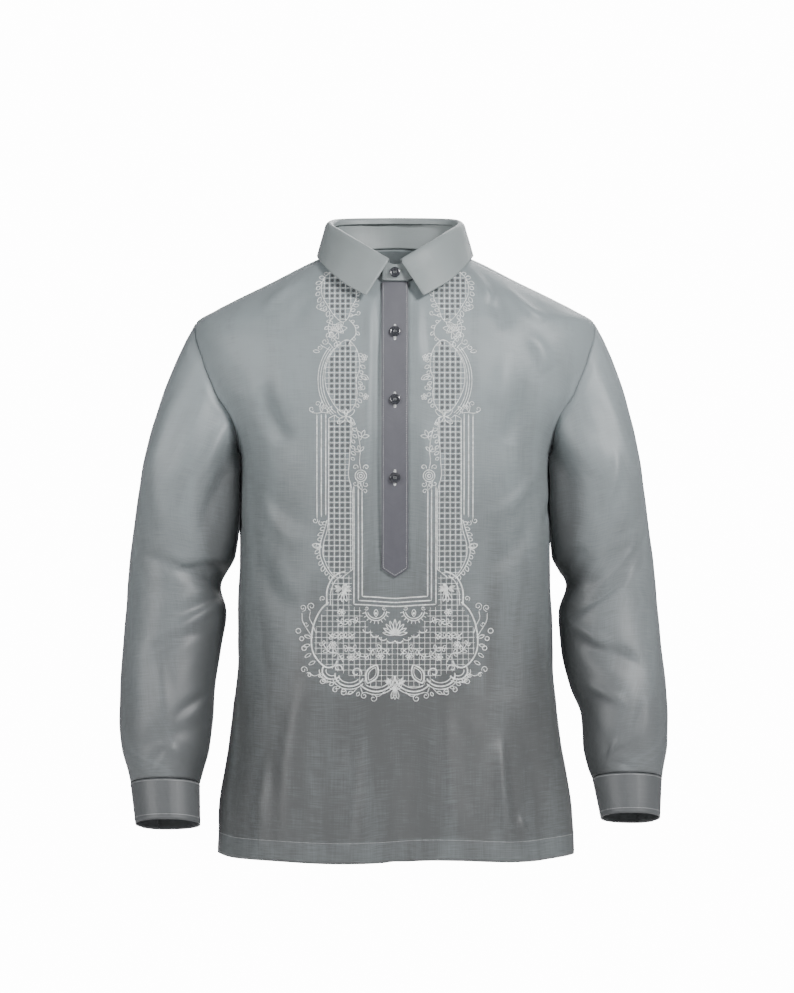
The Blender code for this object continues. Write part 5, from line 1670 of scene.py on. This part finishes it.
class Stitches:
    """Short raised stitches in a row, gathered into one mesh."""

    def __init__(self):
        self.points = []
        self.faces = []
        self.count = 0

    def run(self, path, out, pitch=0.0027, length=0.0020, wide=0.00050, high=0.00030, sunk=0.00006):
        """Stitches along a path of points, standing out along `out`."""
        steps = np.concatenate([[0.0], np.cumsum(np.linalg.norm(np.diff(path, axis=0), axis=1))])
        for at in np.arange(pitch / 2, steps[-1], pitch):
            ends = np.array([[np.interp(at + d, steps, path[:, k]) for k in range(3)]
                             for d in (-length / 2, length / 2)])
            up = np.array([np.interp(at, steps, out[:, k]) for k in range(3)])
            up = up / np.linalg.norm(up)
            ahead = ends[1] - ends[0]
            size = np.linalg.norm(ahead)
            if size < length * 0.5:
                continue
            side = np.cross(up, ahead / size) * wide / 2
            base = up * -sunk
            top = up * high
            low = [ends[0] - side + base, ends[1] - side + base, ends[1] + side + base, ends[0] + side + base]
            inner = [ends[0] + ahead * 0.2, ends[1] - ahead * 0.2]
            crown = [inner[0] - side * 0.5 + top, inner[1] - side * 0.5 + top, inner[1] + side * 0.5 + top,
                     inner[0] + side * 0.5 + top]
            self.points.extend(low + crown)
            a = self.count
            for k in range(4):
                n = (k + 1) % 4
                self.faces.append((a + k, a + n, a + 4 + n, a + 4 + k))
            self.faces.append((a + 4, a + 5, a + 6, a + 7))
            self.count += 8

    def make(self, name, material):
        return mesh_from(name, np.array(self.points), np.array(self.faces), material)


def on_panel(angle, z, front_side, lift=0.00008):
    """Path points and outward directions on a panel's shown cloth."""
    points = body(angle, z, lift_of(angle, z, front_side) + lift)
    outer = body(angle, z, lift_of(angle, z, front_side) + lift + 0.001)
    return points, outer - points


def on_grid(grid, row, column, flip=1.0, lift=0.00008):
    """Path points and outward directions on a grid, at fractional rows and columns."""
    row, column = np.broadcast_arrays(np.asarray(row, float), np.asarray(column, float))
    r = np.clip(row.astype(int), 0, grid.shape[0] - 2)
    c = np.clip(column.astype(int), 0, grid.shape[1] - 2)
    a, b = (row - r)[..., None], (column - c)[..., None]

    def mix(values):
        return ((values[r, c] * (1 - b) + values[r, c + 1] * b) * (1 - a)
                + (values[r + 1, c] * (1 - b) + values[r + 1, c + 1] * b) * a)
    out = mix(normals(grid)) * flip
    return mix(grid) + out * lift, out


EDGE_STITCH = 0.0014    # hem stitching inside the turned band's edge
CUFF_TALL = 0.048
body_rows = Stitches()
for front_side in (True, False):
    spread_angle = np.linspace(-86.0, 86.0, 400)
    at = spread_angle if front_side else wrapped(180.0 + spread_angle)
    body_rows.run(*on_panel(at, hem_z(at, 1) + HEM_BAND - EDGE_STITCH, front_side))
    for side in (-1, 1):
        z = np.linspace(HEM + 0.002, VENT_TOP + 0.006, 120)
        inset = (VENT_BAND - 0.0012) / BODY_REACH
        edge = side_edge(np.minimum(z, VENT_TOP), side, front_side)
        at = side * (edge - inset if front_side else edge + inset)
        body_rows.run(*on_panel(at, z, front_side))
        back_to_seam = np.linspace(at[-1], side * (89.4 if front_side else 90.6), 12)
        body_rows.run(*on_panel(back_to_seam, np.linspace(z[-1], z[-1] + 0.006, 12), front_side))
for side in (-1, 1):
    ends = middle + side * np.linspace(FINE_ACROSS * 6 - 4, FINE_ACROSS * 12 - 3, 120)
    body_rows.run(*on_grid(front, rows - 1.9, ends))

band_rows = Stitches()
for name, side, *_ in SIDES:
    cuff = cuffs[name][1]
    up, across = cuff.shape[0] - 1, cuff.shape[1] - 1
    whole = np.linspace(0.8, across - 0.6, 420)
    for row in (up * 0.0018 / CUFF_TALL, up * (1 - 0.0062 / CUFF_TALL)):
        band_rows.run(*on_grid(cuff, row, whole, side))
    band_rows.run(*on_grid(cuff, np.linspace(1.0, up - 2.2, 60), across - 2.0, side))
up, across = fall.shape[0] - 1, fall.shape[1] - 1
turned = FINE_SMALL * 3
edge_row = up - (up - turned) * 0.0055 / 0.052
edge_column = 1.6
band_rows.run(*on_grid(fall, edge_row, np.linspace(edge_column, across - edge_column, 600), -1.0))
for column in (edge_column, across - edge_column):
    band_rows.run(*on_grid(fall, np.linspace(turned + 1.0, edge_row, 80), column, -1.0))
up, across = stand.shape[0] - 1, stand.shape[1] - 1
band_rows.run(*on_grid(stand, up * 0.09, np.linspace(2.0, across - 2.0, 500)))
band_rows.run(*on_grid(stand, np.linspace(up * 0.09, up * 0.92, 40), 2.0))


def on_placket(x, z, lift):
    return body(np.sign(x) * angle_across(x, z), z, PLACKET_OUT + lift)


top = front[-1, middle, 2] - 0.002
tip = PLACKET_HALF - 0.0021
for side in (-1, 1):
    x = np.full(200, side * tip)
    z = np.linspace(top, PLACKET_SIDES + 0.0010, 200)
    x = np.concatenate([x, np.linspace(side * tip, side * 0.0002, 20)])
    z = np.concatenate([z, np.linspace(PLACKET_SIDES + 0.0010, PLACKET_POINT + 0.0028, 20)])
    path = on_placket(x, z, 0.0001)
    band_rows.run(path, on_placket(x, z, 0.0011) - path)
part_of(body_rows.make("body_stitching", SEWING))
part_of(band_rows.make("band_stitching", SEWING))

buttonholes = Threads()
for height in BUTTON_HEIGHTS:
    for x in (-0.0009, 0.0009):
        buttonholes.lay([(x, height - 0.0084), (x, height + 0.0084)], 0.0013, 0.0004)
    for end in (-0.0088, 0.0088):
        buttonholes.lay([(-0.0014, height + end), (0.0014, height + end)], 0.0013, 0.0006)
part_of(buttonholes.make("buttonhole_stitching", SILVER, on_placket))


# --- Buttons: the CAD's own, with thread through their holes ---


def tube(bm, path, radius, place, sides=6):
    """A round thread along a path in the button's own frame."""
    rings = []
    path = [Vector(p) for p in path]
    for k, point in enumerate(path):
        ahead = (path[min(k + 1, len(path) - 1)] - path[max(k - 1, 0)]).normalized()
        turn = ahead.to_track_quat("Z", "X").to_matrix()
        ring = []
        for n in range(sides):
            a = 2 * math.pi * n / sides
            spoke = turn @ Vector((radius * math.cos(a), radius * math.sin(a), 0))
            ring.append(bm.verts.new(place @ (point + spoke)))
        rings.append(ring)
    for lower, upper in zip(rings[:-1], rings[1:]):
        for n in range(sides):
            m = (n + 1) % sides
            bm.faces.new((lower[n], lower[m], upper[m], upper[n])).smooth = True
    bm.faces.new(rings[0][::-1])
    bm.faces.new(rings[-1])


def seat_of(point, normal):
    from_z = Vector(normal).to_track_quat("Z", "Y").to_matrix().to_4x4()
    from_z.translation = Vector(point)
    return from_z


def seat_on_front(height):
    """Where a button sits on the placket, and the way it faces."""
    low, high = body(0.0, height - 0.006), body(0.0, height + 0.006)
    normal = Vector((0.0, low[2] - high[2], high[1] - low[1])).normalized()
    return Vector(body(0.0, height)) + normal * (SEAM + DOUBLE + BUTTON_LIFT), normal


def seat_on_stand():
    line = stand_grid()[:, 1]
    share = (STAND_BUTTON_Z - line[0, 2]) / (line[-1, 2] - line[0, 2])
    normal = Vector((0.0, line[0, 2] - line[-1, 2], line[-1, 1] - line[0, 1])).normalized()
    return Vector(line[0] + (line[-1] - line[0]) * share) + normal * (BUTTON_LIFT + STAND_BOW), normal


def seat_on_cuff(side, sections):
    row = next(row for row in CUFFS if row[0] == side)
    at = np.array([CUFF_LAP_AT - 5.0, CUFF_LAP_AT, CUFF_LAP_AT + 5.0])
    line = cuff_point(sections, row, at, 0.5, CUFF_STEP)
    lower = cuff_point(sections, row, at, 0.6, CUFF_STEP)
    normal = Vector(lower[1] - line[1]).cross(Vector(line[2] - line[0])).normalized()
    if normal.dot(Vector((line[1][0] - 0.27, line[1][1] + 0.05, 0.0))) < 0:
        normal = -normal
    seat = Vector(line[1]) + normal * (BUTTON_LIFT + 0.0002)
    if side < 0:
        seat.x, normal.x = -seat.x, -normal.x
    return seat, normal


seats = [seat_on_front(height) for height in BUTTON_HEIGHTS] + [seat_on_stand()]
seats.extend(seat_on_cuff(row[1], row[2]) for row in SIDES)

bm = bmesh.new()
for seat, normal in seats:
    place = seat_of(seat, normal)
    hole = BUTTON_HOLE_OUT * math.cos(math.pi / 4)
    crown = BUTTON_THICK * 0.58
    for x in (-hole, hole):
        tube(bm, [(x, -hole, 0.0002), (x, -hole, crown), (x, -hole * 0.7, crown + 0.00035),
                  (x, hole * 0.7, crown + 0.00035), (x, hole, crown), (x, hole, 0.0002)],
             THREAD_RADIUS, place)
    tube(bm, [(0, 0, -0.0013), (0, 0, 0.0003)], SHANK_RADIUS, place, sides=10)
sewn = bpy.data.meshes.new("button_thread")
bm.to_mesh(sewn)
bm.free()
sewn.materials.append(SEWING)
button_thread = bpy.data.objects.new("button_thread", sewn)
bpy.context.scene.collection.objects.link(button_thread)
part_of(button_thread)

for name in ("button_stand", "button_front_1", "button_front_2", "button_front_3", "button_cuff_right",
             "button_cuff_left"):
    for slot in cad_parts[name].material_slots:
        slot.material = RESIN


# --- Camera, floor and soft light ---

scene = bpy.context.scene
CAMERA_AWAY = 4.0
VIEW_TALL = 1.1916      # height of the picture at the shirt
camera = bpy.data.objects.new("camera", bpy.data.cameras.new("camera"))
camera.data.sensor_width = 36.0
camera.data.lens = CAMERA_AWAY * 36.0 / VIEW_TALL
camera.location = (0.0024, -CAMERA_AWAY, -0.281)
camera.rotation_euler = (math.pi / 2, 0.0, 0.0)
scene.collection.objects.link(camera)
scene.camera = camera

FLOOR_Z = -1.45


def stage_look(name, colour, glow):
    add, finish = look(name)
    cloud = add("TexNoise", {"Vector": add("TexCoord", out=3), "Scale": 0.7, "Detail": 1.0})
    shade = add("VectorMath", {0: colour, 3: span(add, cloud, 0.985, 1.0)}, operation="SCALE")
    return finish({"Base Color": shade, "Roughness": 0.85, "Emission Color": (1.0, 1.0, 1.0, 1.0),
                   "Emission Strength": glow})


bpy.ops.mesh.primitive_circle_add(vertices=96, radius=3.1, fill_type="NGON", location=(0.0, 0.0, FLOOR_Z))
floor = bpy.context.object
floor.name = "floor"
floor.data.materials.append(stage_look("floor_white", (0.86, 0.86, 0.86), 0.0))
bpy.ops.mesh.primitive_uv_sphere_add(segments=48, ring_count=24, radius=9.0)
backdrop = bpy.context.object
backdrop.name = "backdrop"
backdrop.data.materials.append(stage_look("backdrop_white", (0.9, 0.9, 0.9), 14.0))
backdrop.visible_diffuse = False
backdrop.visible_glossy = False
backdrop.visible_shadow = False

world = bpy.data.worlds.new("studio")
scene.world = world
world.use_nodes = True
background = world.node_tree.nodes["Background"]
background.inputs["Color"].default_value = (0.93, 0.96, 1.0, 1.0)
background.inputs["Strength"].default_value = 0.20


def soft_light(name, place, aim, size, power):
    data = bpy.data.lights.new(name, "AREA")
    data.shape = "RECTANGLE"
    data.size, data.size_y = size
    data.energy = power
    made = bpy.data.objects.new(name, data)
    made.location = place
    made.rotation_euler = (Vector(aim) - Vector(place)).to_track_quat("-Z", "Y").to_euler()
    scene.collection.objects.link(made)


soft_light("key", (2.0, -2.2, 1.5), (0.0, 0.0, -0.3), (0.8, 0.8), 126.0)
soft_light("fill", (-2.5, -2.2, 0.5), (0.0, 0.0, -0.35), (1.2, 1.6), 57.0)
soft_light("back", (0.6, 2.8, 1.4), (0.0, 0.0, -0.3), (1.8, 1.8), 60.0)
